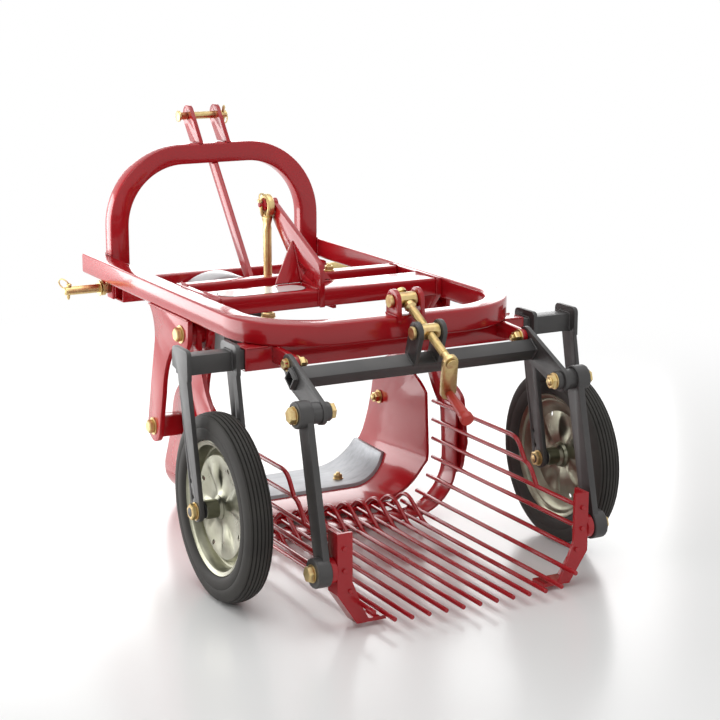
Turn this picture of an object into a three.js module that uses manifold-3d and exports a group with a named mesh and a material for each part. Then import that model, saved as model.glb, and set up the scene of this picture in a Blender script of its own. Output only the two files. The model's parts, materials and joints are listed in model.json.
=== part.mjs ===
// A small tractor-mounted potato harvester: a U-shaped tube frame on two gauge wheels, a hitch arch
// in front, a U-shaped digging share and a rod sieve behind it whose rear end hangs from a rockshaft
// that a crank spindle tilts.
// Millimetres. +Y is the way it is towed, +X its right-hand side and +Z up. Every piece is placed
// from the point on the ground below the middle of the axles, and the whole is then moved along Y
// until the origin lies on the ground below the middle of the machine's length.
import * as THREE from "three";
import { mergeVertices } from "three/addons/utils/BufferGeometryUtils.js";
import Module from "manifold-3d";

const wasm = await Module();
wasm.setup();

// ---------------------------------------------------------------- driving dimensions

const gap = 0.3; // between pieces that are welded or bolted face to face
const pinSides = 16; // faces round a pin or a boss
const wheelSides = 40; // faces round a tyre and a rim
const curveSteps = 10; // straight steps in a quarter of a bend

const frameTop = 570; // height of the top of the frame
const frameTube = 50; // square tube of the frame
const frameBottom = frameTop - frameTube;
const frameHalfWidth = 340; // to the outer face of a leg
const frameInner = frameHalfWidth - frameTube; // to the inner face of a leg
const frameFront = 1045;
const frameRear = -30;
const frameCorner = 200; // outer radius of the bent rear corners

const crossbarHeight = 40;
const crossbarBottom = frameTop - crossbarHeight;
const rearBarY = 316; // rear face of the rear crossbar
const rearBarDepth = 100;
const frontBarY = 505; // rear face of the front crossbar
const frontBarDepth = 40;
const innerPlateWall = 14;
const innerPlateOuter = frameInner - gap;
const innerPlateInner = innerPlateOuter - innerPlateWall;

const archY = 965; // rear face of the hitch arch
const archDepth = 40;
const archMidY = archY + archDepth / 2;
const archFace = 50; // width of the arch tube seen from behind
const archTop = frameTop + 268;
const archBottom = frameTop - 112;
const archCorner = 200;
const hitchTubeDepth = 60;
const hitchTubeHeight = 60;
const hitchTubeWall = 4;
const hitchTubeY = archY - gap - hitchTubeDepth;

const topPinY = archMidY + 62;
const topPinZ = archTop + 64;
const topPinRadius = 9.5;
const topPinLength = 138;
const clevisHalfGap = 32.5; // half the free width between the top link plates
const clevisPlate = 10;
const clevisEye = 27; // radius of the top link plates round the pin

const braceWall = 12; // of the bar from the arch to the drive cradle

const lowerPinZ = archBottom + 29;
const lowerPinRadius = 11;
const lowerPinShoulder = frameInner + 22; // distance of the pin's shoulder from the middle
const lowerPinLength = 98;

const sidePlate = 12; // thickness of the plates that carry the share
const sideX = frameHalfWidth - sidePlate; // inner face of a side plate
const upperBoltY = 400;
const upperBoltZ = frameBottom - 38;
const lowerBoltY = 580;
const lowerBoltZ = 226;

const shareHalfWidth = innerPlateInner - gap; // to the outer face of a wing
const shareWall = 8;
const shareCorner = 120;
const shareFront = 735;
const shareRear = 368;
const shareTilt = THREE.MathUtils.degToRad(3.9);
const wearPlateRear = 500;
const wearPlateWall = 8;
const wearPlateTop = 92;

const sieveClearance = 5; // between the share's wings and the side rods
const sieveRodRadius = 5;
const sieveHalfWidth = shareHalfWidth + sieveClearance + sieveRodRadius; // to the middle of a side rod
const sieveCorner = 110; // radius on which the corner rods lie
const sieveRodZ = 25; // middle of the lowest rods
const sieveFloorPitch = 40;
const sieveSidePitch = 46.5;
const sieveFloorRods = 5; // on each side of the middle one
const sieveSideRods = 6; // above them, on each side
const sieveShortRods = 2; // of those, the top ones that end early in a bend
const sieveFront = 345;
const sieveRear = -340;
const sieveSideRear = -290;
const bandY = 245; // rear edge of the band that joins the rods
const bandWidth = 65;
const bandWall = 6;
const bandInner = sieveRodRadius - 1; // the rods are welded a little into the band
const sievePivotY = 285;
const sievePivotZ = 146;
const hangerClearance = 7; // between the band and a sieve hanger
const uprightY = -285; // rear edge of the uprights
const uprightWidth = 70;
const uprightWall = 10;
const uprightTop = 205;

const linkSpacer = 15; // from an upright to its swing link
const linkX = sieveHalfWidth + sieveRodRadius + gap + uprightWall + linkSpacer; // its inner face
const linkPlate = 14;
const linkWidth = 44;
const linkBoss = 16; // how far the bosses of a swing link stand out
const rockerPlate = 10;
const rockerSpacer = 22; // from a rocker arm to its swing link
const rockerX = linkX - rockerSpacer - rockerPlate; // inner face of a rocker arm
const rockPivotY = -50; // bolts on which the rockshaft tilts
const rockPivotZ = frameBottom - 20;
const rockTubeY = rockPivotY - 30;
const rockTubeZ = rockPivotZ - 23;
const rockTube = 32;
const rockTubeWall = 4;
const rockHalfLength = rockerX + rockerPlate + 10;
const rockTurn = Math.atan2(rockPivotZ - rockTubeZ, rockPivotY - rockTubeY); // a flat faces the bolts
const linkTopY = rockPivotY - 140;
const linkTopZ = rockPivotZ - 69;
const linkFootY = -265;
const linkFootZ = 125;

const spindleX = 8;
const upperTrunnionY = -8;
const upperTrunnionZ = frameTop + 30;
const lowerTrunnionY = rockPivotY - 55;
const lowerTrunnionZ = rockPivotZ + 49;
const spindleRadius = 9;
const spindleReach = 108; // from the lower trunnion to the crank
const sleeveRadius = 17; // of the trunnions, round the spindle
const collarRadius = 13;
const earHalfGap = 23;
const earPlate = 10;
const crankLength = 86;
const handleLength = 80;
const crankTurn = THREE.MathUtils.degToRad(-13); // at rest, about the spindle

const wheelRadius = 200;
const axleZ = wheelRadius;
const axleRadius = 10;
const tyreWidth = 60;
const tyreClearance = 20; // between the tyre and each leg of its fork
const rimRadius = 143;
const forkTubeY = 70;
const forkTube = 40;
const forkPlate = 10;
const forkInnerX = frameHalfWidth + 21; // inner leg of a wheel fork, to its inner face
const forkGap = tyreWidth + 2 * tyreClearance;
const forkOuterX = forkInnerX + forkPlate + forkGap; // outer leg, to its inner face
const wheelX = forkOuterX - forkGap / 2; // middle of a wheel
const receiverTube = 50;

const cradleTop = frameBottom - 10;
const cradleBar = 30; // height of the cradle's bars
const cradleWall = 10;
const cradleHalfWidth = 150;
const cradleCrossY = 745;
const cradleCrossDepth = 36;
const armX = -29; // middle of the plate of the hanger arm
const armPlate = 12;
const armTipY = 563; // pin of the hanger arm
const armTipZ = frameTop + 165;
const armPinRadius = 15;
const eyeRadius = 29; // eye of the rod that hangs from the arm
const eyeBore = 19;
const eyeHalf = 9;
const driveX = armX - armPlate / 2 - 2 - eyeHalf;
const driveZ = cradleTop - 110;
const driveShaftRadius = 17;
const driveShaftFront = 1000;
const drumRadius = 125;
const drumFront = 885;
const drumDepth = 80;
const drumWall = 5;
const gearboxRear = 690;
const bearingY = armTipY;
const bearingTop = 48; // above the middle of the shaft

// ---------------------------------------------------------------- materials

const paint = (color, roughness) => new THREE.MeshStandardMaterial({ color, roughness, metalness: 0 });
const metal = (color, roughness) => new THREE.MeshStandardMaterial({ color, roughness, metalness: 1 });
const redPaint = paint(0xa6161e, 0.25);
const charcoalPaint = paint(0x3a3a3b, 0.45);
const orangePlastic = paint(0xd8402c, 0.4);
const blackRubber = paint(0x2b2a29, 0.75);
const yellowZinc = metal(0xb8a070, 0.4);
const brightZinc = metal(0xb9bab4, 0.35);
const wearSteel = metal(0xa3a7ab, 0.45);
const greyPaint = paint(0xb4b6b8, 0.4);

// ---------------------------------------------------------------- solids

function solidOf(geometry) {
  const bare = geometry.clone();
  bare.deleteAttribute("normal");
  bare.deleteAttribute("uv");
  const merged = mergeVertices(bare, 1e-4);
  return new wasm.Manifold(
    new wasm.Mesh({
      numProp: 3,
      vertProperties: merged.attributes.position.array,
      triVerts: new Uint32Array(merged.index.array),
    }),
  );
}

function geometryOf(solid) {
  const { vertProperties, triVerts } = solid.getMesh();
  const geometry = new THREE.BufferGeometry()
    .setAttribute("position", new THREE.BufferAttribute(vertProperties, 3))
    .setIndex(new THREE.BufferAttribute(triVerts, 1));
  geometry.computeVertexNormals();
  return geometry;
}

const join = (...pieces) => geometryOf(pieces.map(solidOf).reduce((a, b) => a.add(b)));
const cut = (piece, ...tools) =>
  geometryOf(tools.map(solidOf).reduce((left, tool) => left.subtract(tool), solidOf(piece)));
const common = (a, b) => geometryOf(solidOf(a).intersect(solidOf(b)));

// A box between two corners.
function block([x0, y0, z0], [x1, y1, z1]) {
  return new THREE.BoxGeometry(x1 - x0, y1 - y0, z1 - z0).translate(
    (x0 + x1) / 2,
    (y0 + y1) / 2,
    (z0 + z1) / 2,
  );
}

// A cylinder along X, from x0 to x1, round the point y, z.
function pinX(radius, x0, x1, y, z, sides = pinSides) {
  return new THREE.CylinderGeometry(radius, radius, x1 - x0, sides)
    .rotateZ(-Math.PI / 2)
    .translate((x0 + x1) / 2, y, z);
}

// A cylinder along Y, from y0 to y1, round the point x, z.
function pinY(radius, y0, y1, x, z, sides = pinSides) {
  return new THREE.CylinderGeometry(radius, radius, y1 - y0, sides).translate(x, (y0 + y1) / 2, z);
}

// A plate that stands in the YZ plane, between x0 and x1. Its outline is given as y, z.
function plateX(outline, x0, x1) {
  const shape = outline instanceof THREE.Shape ? outline : polygon(outline);
  return new THREE.ExtrudeGeometry(shape, { depth: x1 - x0, bevelEnabled: false, curveSegments: curveSteps })
    .rotateX(Math.PI / 2)
    .rotateZ(Math.PI / 2)
    .translate(x0, 0, 0);
}

// A piece that is extruded along Y, between y0 and y1. Its outline is given as x, z.
function plateY(outline, y0, y1) {
  const shape = outline instanceof THREE.Shape ? outline : polygon(outline);
  return new THREE.ExtrudeGeometry(shape, { depth: y1 - y0, bevelEnabled: false, curveSegments: curveSteps })
    .rotateX(Math.PI / 2)
    .translate(0, y1, 0);
}

const polygon = (points) => new THREE.Shape(points.map(([u, v]) => new THREE.Vector2(u, v)));

// The plate that wraps round discs, each given as [y, z, radius]: the outline of a link or an arm.
function wrapped(discs, x0, x1) {
  return plateX(hullOf(discs.flatMap((disc) => ringOf(...disc))), x0, x1);
}

// Points round a circle, as pairs.
function ringOf(u, v, radius, sides = pinSides) {
  return [...Array(sides).keys()].map((i) => {
    const turn = (i / sides) * 2 * Math.PI;
    return [u + radius * Math.cos(turn), v + radius * Math.sin(turn)];
  });
}

// The convex outline of a set of points, anticlockwise.
function hullOf(points) {
  const sorted = [...points].sort((a, b) => a[0] - b[0] || a[1] - b[1]);
  const half = (list) => {
    const chain = [];
    for (const p of list) {
      while (chain.length > 1 && !turnsLeft(chain.at(-2), chain.at(-1), p)) chain.pop();
      chain.push(p);
    }
    return chain.slice(0, -1);
  };
  return [...half(sorted), ...half(sorted.reverse())];
}

const turnsLeft = (a, b, c) => (b[0] - a[0]) * (c[1] - a[1]) - (b[1] - a[1]) * (c[0] - a[0]) > 1e-6;

// A round bar bent in the YZ plane at one x. Its route is given as y, z points.
function bentBar(x, route, radius, sides = 6) {
  const points = route.map(([y, z]) => new THREE.Vector2(y, z));
  const position = [];
  points.forEach((point, i) => {
    const before = i ? point.clone().sub(points[i - 1]).normalize() : null;
    const after = i < points.length - 1 ? points[i + 1].clone().sub(point).normalize() : null;
    const along = new THREE.Vector2().addVectors(before ?? after, after ?? before).normalize();
    const stretch = 1 / along.dot(before ?? after);
    for (let k = 0; k < sides; k++) {
      const turn = (k / sides) * 2 * Math.PI;
      const lift = radius * Math.sin(turn) * stretch;
      position.push(x + radius * Math.cos(turn), point.x - along.y * lift, point.y + along.x * lift);
    }
  });
  const index = [];
  const last = (points.length - 1) * sides;
  for (let ring = 0; ring < points.length - 1; ring++)
    for (let k = 0; k < sides; k++) {
      const a = ring * sides + k;
      const b = ring * sides + ((k + 1) % sides);
      index.push(a, a + sides, b, b, a + sides, b + sides);
    }
  for (let k = 1; k < sides - 1; k++) index.push(0, k, k + 1, last, last + k + 1, last + k);
  return new THREE.BufferGeometry()
    .setAttribute("position", new THREE.BufferAttribute(new Float32Array(position), 3))
    .setIndex(index);
}

// The section of a U-shaped sheet in the XZ plane, open at the top.
function troughSection(halfWidth, bottom, corner, wall, top) {
  const flat = halfWidth - corner;
  const centre = bottom + corner;
  const inner = halfWidth - wall;
  return new THREE.Shape()
    .moveTo(-halfWidth, top)
    .lineTo(-halfWidth, centre)
    .absarc(-flat, centre, corner, Math.PI, 1.5 * Math.PI, false)
    .lineTo(flat, bottom)
    .absarc(flat, centre, corner, 1.5 * Math.PI, 2 * Math.PI, false)
    .lineTo(halfWidth, top)
    .lineTo(inner, top)
    .lineTo(inner, centre)
    .absarc(flat, centre, corner - wall, 0, -0.5 * Math.PI, true)
    .lineTo(-flat, bottom + wall)
    .absarc(-flat, centre, corner - wall, 1.5 * Math.PI, Math.PI, true)
    .lineTo(-inner, top);
}

// A square or rectangular tube along X, open at both ends.
function tubeX(halfLength, depth, height, wall) {
  return cut(
    new THREE.BoxGeometry(2 * halfLength, depth, height),
    new THREE.BoxGeometry(2 * halfLength + 2, depth - 2 * wall, height - 2 * wall),
  );
}

// ---------------------------------------------------------------- scene graph

const harvester = new THREE.Group();

function add(name, geometry, material, parent = harvester) {
  const mesh = new THREE.Mesh(geometry, material);
  mesh.name = name;
  parent.add(mesh);
  return mesh;
}

// Makes the same piece on both sides. The maker gets "left" or "right", and -1 or 1.
function bothSides(make) {
  make("left", -1);
  make("right", 1);
}

// The two ends of a stretch of X on one side, the lower first.
const spanX = (side, inner, outer) => (side > 0 ? [inner, outer] : [-outer, -inner]);

// ---------------------------------------------------------------- frame

function mainFrame() {
  const flat = frameHalfWidth - frameCorner;
  const centre = frameRear + frameCorner;
  const outline = new THREE.Shape()
    .moveTo(-frameHalfWidth, frameFront)
    .lineTo(-frameHalfWidth, centre)
    .absarc(-flat, centre, frameCorner, Math.PI, 1.5 * Math.PI, false)
    .lineTo(flat, frameRear)
    .absarc(flat, centre, frameCorner, 1.5 * Math.PI, 2 * Math.PI, false)
    .lineTo(frameHalfWidth, frameFront)
    .lineTo(frameInner, frameFront)
    .lineTo(frameInner, centre)
    .absarc(flat, centre, frameCorner - frameTube, 0, -0.5 * Math.PI, true)
    .lineTo(-flat, frameRear + frameTube)
    .absarc(-flat, centre, frameCorner - frameTube, 1.5 * Math.PI, Math.PI, true)
    .lineTo(-frameInner, frameFront);
  const bar = new THREE.ExtrudeGeometry(outline, {
    depth: frameTube,
    bevelEnabled: false,
    curveSegments: curveSteps,
  }).translate(0, 0, frameBottom);
  add("main_frame", bar, redPaint);
}

function crossbars() {
  const reach = innerPlateInner - gap;
  add(
    "rear_crossbar",
    block([-reach, rearBarY, crossbarBottom], [reach, rearBarY + rearBarDepth, frameTop]),
    redPaint,
  );
  add(
    "front_crossbar",
    block([-reach, frontBarY, crossbarBottom], [reach, frontBarY + frontBarDepth, frameTop]),
    redPaint,
  );
}

// The plates inside the legs, on which the crossbars end and the upper share bolts sit.
function innerPlates() {
  const eye = 38;
  const outline = new THREE.Shape()
    .moveTo(rearBarY, frameTop)
    .lineTo(rearBarY, crossbarBottom)
    .lineTo(upperBoltY - eye, upperBoltZ)
    .absarc(upperBoltY, upperBoltZ, eye, Math.PI, 2 * Math.PI, false)
    .lineTo(frontBarY + frontBarDepth, crossbarBottom)
    .lineTo(frontBarY + frontBarDepth, frameTop);
  bothSides((name, side) =>
    add(
      "inner_plate_" + name,
      plateX(outline, ...spanX(side, innerPlateInner, innerPlateOuter)),
      redPaint,
    ),
  );
}

// The plates under the legs that carry the share at its two bolts.
function sidePlates() {
  const foot = 37;
  const outline = new THREE.Shape()
    .moveTo(upperBoltY - 42, frameBottom - gap)
    .lineTo(upperBoltY - 38, upperBoltZ - 12)
    .absarc(upperBoltY, upperBoltZ - 4, 38, Math.PI + 0.3, 1.5 * Math.PI, false)
    .lineTo(upperBoltY + 58, upperBoltZ - 46)
    .quadraticCurveTo(upperBoltY + 108, upperBoltZ - 90, upperBoltY + 118, 320)
    .lineTo(lowerBoltY - foot, lowerBoltZ)
    .absarc(lowerBoltY, lowerBoltZ, foot, Math.PI, 2 * Math.PI, false)
    .lineTo(lowerBoltY + 8, 340)
    .lineTo(lowerBoltY - 20, 440)
    .quadraticCurveTo(lowerBoltY - 26, 490, lowerBoltY + 12, frameBottom - gap);
  bothSides((name, side) =>
    add("side_plate_" + name, plateX(outline, ...spanX(side, sideX, frameHalfWidth)), redPaint),
  );
}

// Blocks between the side plates and the share's wings, at the lower bolts.
function lowerSpacers() {
  bothSides((name, side) => {
    const [x0, x1] = spanX(side, shareHalfWidth + gap, sideX - gap);
    const halfHeight = 24;
    add(
      "share_spacer_" + name,
      block(
        [x0, lowerBoltY - 20, lowerBoltZ - halfHeight],
        [x1, lowerBoltY + 20, lowerBoltZ + halfHeight],
      ),
      redPaint,
    );
  });
}

// ---------------------------------------------------------------- hitch

function hitchArch() {
  const outer = frameInner - gap;
  const flat = outer - archCorner;
  const centre = archTop - archCorner;
  const outline = new THREE.Shape()
    .moveTo(outer, archBottom)
    .lineTo(outer, centre)
    .absarc(flat, centre, archCorner, 0, 0.5 * Math.PI, false)
    .lineTo(-flat, archTop)
    .absarc(-flat, centre, archCorner, 0.5 * Math.PI, Math.PI, false)
    .lineTo(-outer, archBottom)
    .lineTo(archFace - outer, archBottom)
    .lineTo(archFace - outer, centre)
    .absarc(-flat, centre, archCorner - archFace, Math.PI, 0.5 * Math.PI, true)
    .lineTo(flat, archTop - archFace)
    .absarc(flat, centre, archCorner - archFace, 0.5 * Math.PI, 0, true)
    .lineTo(outer - archFace, archBottom);
  add("hitch_arch", plateY(outline, archY, archY + archDepth), redPaint);
}

function hitchTube() {
  const tube = add(
    "hitch_tube",
    tubeX(frameInner - 5, hitchTubeDepth, hitchTubeHeight, hitchTubeWall),
    redPaint,
  );
  tube.position.set(0, hitchTubeY + hitchTubeDepth / 2, frameBottom - gap - hitchTubeHeight / 2);
}

function lowerLinkPins() {
  const socket = 13;
  bothSides((name, side) => {
    const [x0, x1] = spanX(side, frameInner, lowerPinShoulder - 4);
    const pin = spanX(side, lowerPinShoulder - 6, lowerPinShoulder + lowerPinLength);
    add(
      "lower_link_pin_" + name,
      join(
        block(
          [x0, archMidY - socket, lowerPinZ - socket],
          [x1, archMidY + socket, lowerPinZ + socket],
        ),
        pinX(18, ...spanX(side, lowerPinShoulder - 8, lowerPinShoulder), archMidY, lowerPinZ),
        pinX(lowerPinRadius, ...pin, archMidY, lowerPinZ),
      ),
      yellowZinc,
    );
  });
}

function topLinkPlates() {
  const foot = archTop + gap;
  const outline = new THREE.Shape()
    .moveTo(archY, foot)
    .lineTo(topPinY - 0.75 * clevisEye, topPinZ + 0.66 * clevisEye)
    .absarc(topPinY, topPinZ, clevisEye, 0.77 * Math.PI, -0.23 * Math.PI, true)
    .lineTo(archY + archDepth + 24, foot);
  const bore = topPinRadius + gap;
  bothSides((name, side) => {
    const [x0, x1] = spanX(side, clevisHalfGap, clevisHalfGap + clevisPlate);
    add(
      "top_link_plate_" + name,
      cut(plateX(outline, x0, x1), pinX(bore, x0 - 1, x1 + 1, topPinY, topPinZ)),
      redPaint,
    );
  });
  const half = topPinLength / 2;
  add(
    "top_link_pin",
    join(
      pinX(topPinRadius, -half, half, topPinY, topPinZ),
      pinX(14, -half, -half + 8, topPinY, topPinZ),
    ),
    yellowZinc,
  );
}

// The flat bar from the arch down to the cradle of the drive.
function mastBrace() {
  const top = [archMidY - 4, archTop - archFace - gap];
  const foot = [cradleCrossY + 16, cradleTop + gap];
  const depth = 40;
  add(
    "mast_brace",
    plateX(
      [
        [foot[0] - depth / 2, foot[1]],
        [foot[0] + depth / 2, foot[1]],
        [top[0] + depth / 2, top[1]],
        [top[0] - depth / 2, top[1]],
      ],
      -braceWall / 2,
      braceWall / 2,
    ),
    redPaint,
  );
}

// ---------------------------------------------------------------- drive

// Two bars from the front crossbar to the hitch tube, with a cross bar that carries the gearbox.
function driveCradle() {
  const rear = frontBarY + 2;
  const front = hitchTubeY - gap;
  const bottom = cradleTop - cradleBar;
  const bar = (x) => {
    const beam = block([x - cradleWall / 2, rear, bottom], [x + cradleWall / 2, front, cradleTop]);
    const post = block(
      [x - cradleWall / 2, rear, bottom],
      [x + cradleWall / 2, rear + frontBarDepth - 4, crossbarBottom - gap],
    );
    return join(beam, post);
  };
  const left = driveX - cradleHalfWidth;
  const right = driveX + cradleHalfWidth;
  add(
    "drive_cradle",
    join(
      bar(left),
      bar(right),
      block([left, cradleCrossY, bottom], [right, cradleCrossY + cradleCrossDepth, cradleTop]),
    ),
    redPaint,
  );
}

function drive() {
  const group = new THREE.Group();
  group.position.set(driveX, 0, driveZ);
  harvester.add(group);

  const shaftBore = driveShaftRadius + 1;
  const drumRear = drumFront - drumDepth;
  const shell = cut(
    pinY(drumRadius, drumRear, drumFront, 0, 0, 2 * pinSides),
    pinY(drumRadius - drumWall, drumRear + drumWall, drumFront + 1, 0, 0, 2 * pinSides),
    pinY(shaftBore, drumRear - 1, drumFront, 0, 0),
  );
  add("drive_guard", shell, greyPaint, group);

  const gearboxTop = cradleTop - cradleBar - gap - driveZ;
  const gearbox = cut(
    block([-60, gearboxRear, -70], [60, drumRear - gap, gearboxTop]),
    pinY(shaftBore, gearboxRear - 1, drumRear + 1, 0, 0),
  );
  add("gearbox_housing", gearbox, charcoalPaint, group);

  const bearing = cut(
    join(
      pinY(34, bearingY - 18, bearingY + 18, 0, 0),
      block([-16, bearingY - 16, 0], [16, bearingY + 16, bearingTop]),
    ),
    pinY(shaftBore, bearingY - 20, bearingY + 20, 0, 0),
  );
  add("shaft_bearing", bearing, charcoalPaint, group);

  const shaft = join(
    pinY(driveShaftRadius, bearingY - 26, driveShaftFront, 0, 0),
    pinY(24, gearboxRear - 16, gearboxRear - 4, 0, 0),
  );
  add("drive_shaft", shaft, brightZinc, group);
}

// The arm on the rear crossbar, and the rod that hangs from it and holds the shaft bearing.
function hangerArm() {
  const foot = frameTop + gap;
  const barFront = rearBarY + rearBarDepth;
  const rear = rearBarY - 8;
  const outline = [
    [rear, crossbarBottom],
    [rearBarY - gap, crossbarBottom],
    [rearBarY - gap, foot],
    [barFront - 2, foot],
    [armTipY - 81, frameTop + 64],
    [armTipY + 6, armTipZ - 22],
    [armTipY + 17, armTipZ - 4],
    [armTipY + 12, armTipZ + 9],
    [armTipY - 8, armTipZ + 8],
    [rearBarY + 25, frameTop + 72],
    [rearBarY, frameTop + 57],
    [rear, frameTop + 30],
  ];
  const half = armPlate / 2;
  const pinReach = half + 2 * eyeHalf + 14;
  const gussetFoot = barFront - 16;
  const gussetTop = [gussetFoot + 42, frameTop + 90];
  const gussetWall = 10;
  const gussets = common(
    plateY(
      [
        [-71, foot],
        [71, foot],
        [half, gussetTop[1]],
        [-half, gussetTop[1]],
      ],
      gussetFoot - 1,
      gussetTop[0] + gussetWall + 1,
    ),
    plateX(
      [
        [gussetFoot, foot],
        [gussetFoot + gussetWall, foot],
        [gussetTop[0] + gussetWall, gussetTop[1]],
        gussetTop,
      ],
      -80,
      80,
    ),
  );
  const arm = add(
    "hanger_arm",
    join(
      plateX(outline, -half, half),
      pinX(armPinRadius, -pinReach, half, armTipY, armTipZ),
      gussets,
    ),
    redPaint,
  );
  arm.position.x = armX;
}

function hangerRod() {
  const rodRadius = 10;
  const eyeZ = armTipZ - (eyeBore - armPinRadius - gap); // it hangs on the pin
  const foot = driveZ + bearingTop + gap;
  const rodTop = eyeZ - eyeBore - 3;
  add(
    "hanger_rod",
    cut(
      join(
        pinX(eyeRadius, driveX - eyeHalf, driveX + eyeHalf, armTipY, eyeZ, 2 * pinSides),
        new THREE.CylinderGeometry(rodRadius, rodRadius, rodTop - foot, pinSides)
          .rotateX(Math.PI / 2)
          .translate(driveX, armTipY, (rodTop + foot) / 2),
        new THREE.CylinderGeometry(15, 15, 26, 6)
          .rotateX(Math.PI / 2)
          .translate(driveX, armTipY, foot + 13),
      ),
      pinX(eyeBore, driveX - eyeHalf - 1, driveX + eyeHalf + 1, armTipY, eyeZ, 2 * pinSides),
    ),
    yellowZinc,
  );
}

// ---------------------------------------------------------------- share

function tiltedTrough(halfWidth, bottom, corner, wall) {
  return plateY(troughSection(halfWidth, bottom, corner, wall, 560), -400, 30)
    .rotateX(-shareTilt)
    .translate(0, shareFront, 0);
}

function share() {
  const eye = 27;
  const side = new THREE.Shape()
    .moveTo(shareFront, 0)
    .lineTo(700, 70)
    .quadraticCurveTo(640, 160, 618, 255)
    .quadraticCurveTo(600, 330, 500, 352)
    .quadraticCurveTo(450, 370, 434, 430)
    .lineTo(upperBoltY + eye, upperBoltZ)
    .absarc(upperBoltY, upperBoltZ, eye, 0, Math.PI, false)
    .lineTo(384, 420)
    .quadraticCurveTo(428, 327, 405, 317)
    .quadraticCurveTo(350, 294, 322, 245)
    .quadraticCurveTo(282, 205, 354, 100)
    .quadraticCurveTo(368, 60, shareRear, 0);
  add(
    "share_plate",
    common(
      tiltedTrough(shareHalfWidth, 0, shareCorner, shareWall),
      plateX(side, -shareHalfWidth - 10, shareHalfWidth + 10),
    ),
    redPaint,
  );

  const offset = shareWall + gap;
  add(
    "wear_plate",
    common(
      tiltedTrough(shareHalfWidth - offset, offset, shareCorner - offset, wearPlateWall),
      plateX(
        [
          [wearPlateRear, 0],
          [shareFront, 0],
          [shareFront - 42, wearPlateTop],
          [wearPlateRear + 40, wearPlateTop],
        ],
        -shareHalfWidth,
        shareHalfWidth,
      ),
    ),
    wearSteel,
  );
}

// The comb behind the share: bars that reach over the sieve's band and down between its rods.
function shareFingers() {
  const rise = (shareFront - shareRear) * Math.tan(shareTilt);
  const stripTop = rise - 2;
  const stripWall = 8;
  const fingers = 5; // on each side
  const reach = (fingers - 0.5) * sieveFloorPitch;
  const stripRear = shareRear - 14;
  const strip = block(
    [-reach - 12, stripRear, stripTop - stripWall],
    [reach + 12, shareRear + 24, stripTop],
  );
  const bars = [];
  for (let i = -fingers; i < fingers; i++)
    bars.push(
      bentBar(
        (i + 0.5) * sieveFloorPitch,
        [
          [stripRear + 6, stripTop - 4],
          [bandY + bandWidth - 4, 60],
          [bandY + 30, 62],
          [bandY - 40, 18],
          [bandY - 60, 13],
          [-5 + 2 * Math.abs(i + 0.5), 12],
        ],
        sieveRodRadius,
      ),
    );
  add("share_fingers", join(strip, ...bars), redPaint);
}

// ---------------------------------------------------------------- sieve

// The point of the sieve's U at a distance along it from the middle of its floor, as x, z.
function sievePoint(distance) {
  const side = Math.sign(distance);
  const flat = sieveHalfWidth - sieveCorner;
  const along = Math.abs(distance) - flat;
  const quarter = (Math.PI / 2) * sieveCorner;
  if (along <= 0) return [distance, sieveRodZ];
  if (along < quarter) {
    const turn = along / sieveCorner;
    return [
      side * (flat + sieveCorner * Math.sin(turn)),
      sieveRodZ + sieveCorner * (1 - Math.cos(turn)),
    ];
  }
  return [side * sieveHalfWidth, sieveRodZ + sieveCorner + along - quarter];
}

function sieveRods() {
  const rods = [];
  for (let i = -sieveFloorRods; i <= sieveFloorRods; i++) {
    const [x, z] = sievePoint(i * sieveFloorPitch);
    rods.push(pinY(sieveRodRadius, sieveRear, sieveFront, x, z, 6));
  }
  for (let i = 1; i <= sieveSideRods; i++)
    for (const side of [-1, 1]) {
      const distance = sieveFloorRods * sieveFloorPitch + i * sieveSidePitch;
      const [x, z] = sievePoint(side * distance);
      const short = i - (sieveSideRods - sieveShortRods);
      if (short > 0) {
        const bend = short * 50 - 128;
        rods.push(
          bentBar(
            x,
            [
              [sieveFront, z],
              [bend, z],
              [bend - 32, z - 46],
            ],
            sieveRodRadius,
          ),
        );
      } else rods.push(pinY(sieveRodRadius, i === 1 ? sieveRear + 10 : sieveSideRear, sieveFront, x, z, 6));
    }
  return rods;
}

function sieve() {
  const bandTop = sievePoint((sieveFloorRods * sieveFloorPitch) + sieveSideRods * sieveSidePitch)[1] + 12;
  const outer = bandInner + bandWall;
  const band = plateY(
    troughSection(sieveHalfWidth + outer, sieveRodZ - outer, sieveCorner + outer, bandWall, bandTop),
    bandY,
    bandY + bandWidth,
  );
  add("sieve_grid", join(band, ...sieveRods()), redPaint);
}

// The uprights at the sieve's rear corners. The swing links hold them at a boss.
function sieveUprights() {
  const inner = sieveRodRadius + gap;
  const outer = inner + uprightWall;
  const shell = troughSection(
    sieveHalfWidth + outer,
    sieveRodZ - outer,
    sieveCorner + outer,
    uprightWall,
    uprightTop,
  );
  const whole = plateY(shell, uprightY, uprightY + uprightWidth);
  bothSides((name, side) => {
    const keep = block(
      [spanX(side, 190, 400)[0], uprightY - 1, 0],
      [spanX(side, 190, 400)[1], uprightY + uprightWidth + 1, uprightTop + 1],
    );
    const face = sieveHalfWidth + outer;
    add(
      "sieve_upright_" + name,
      join(
        common(whole, keep),
        pinX(26, ...spanX(side, face - 2, linkX - gap), linkFootY, linkFootZ),
      ),
      redPaint,
    );
  });
}

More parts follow.
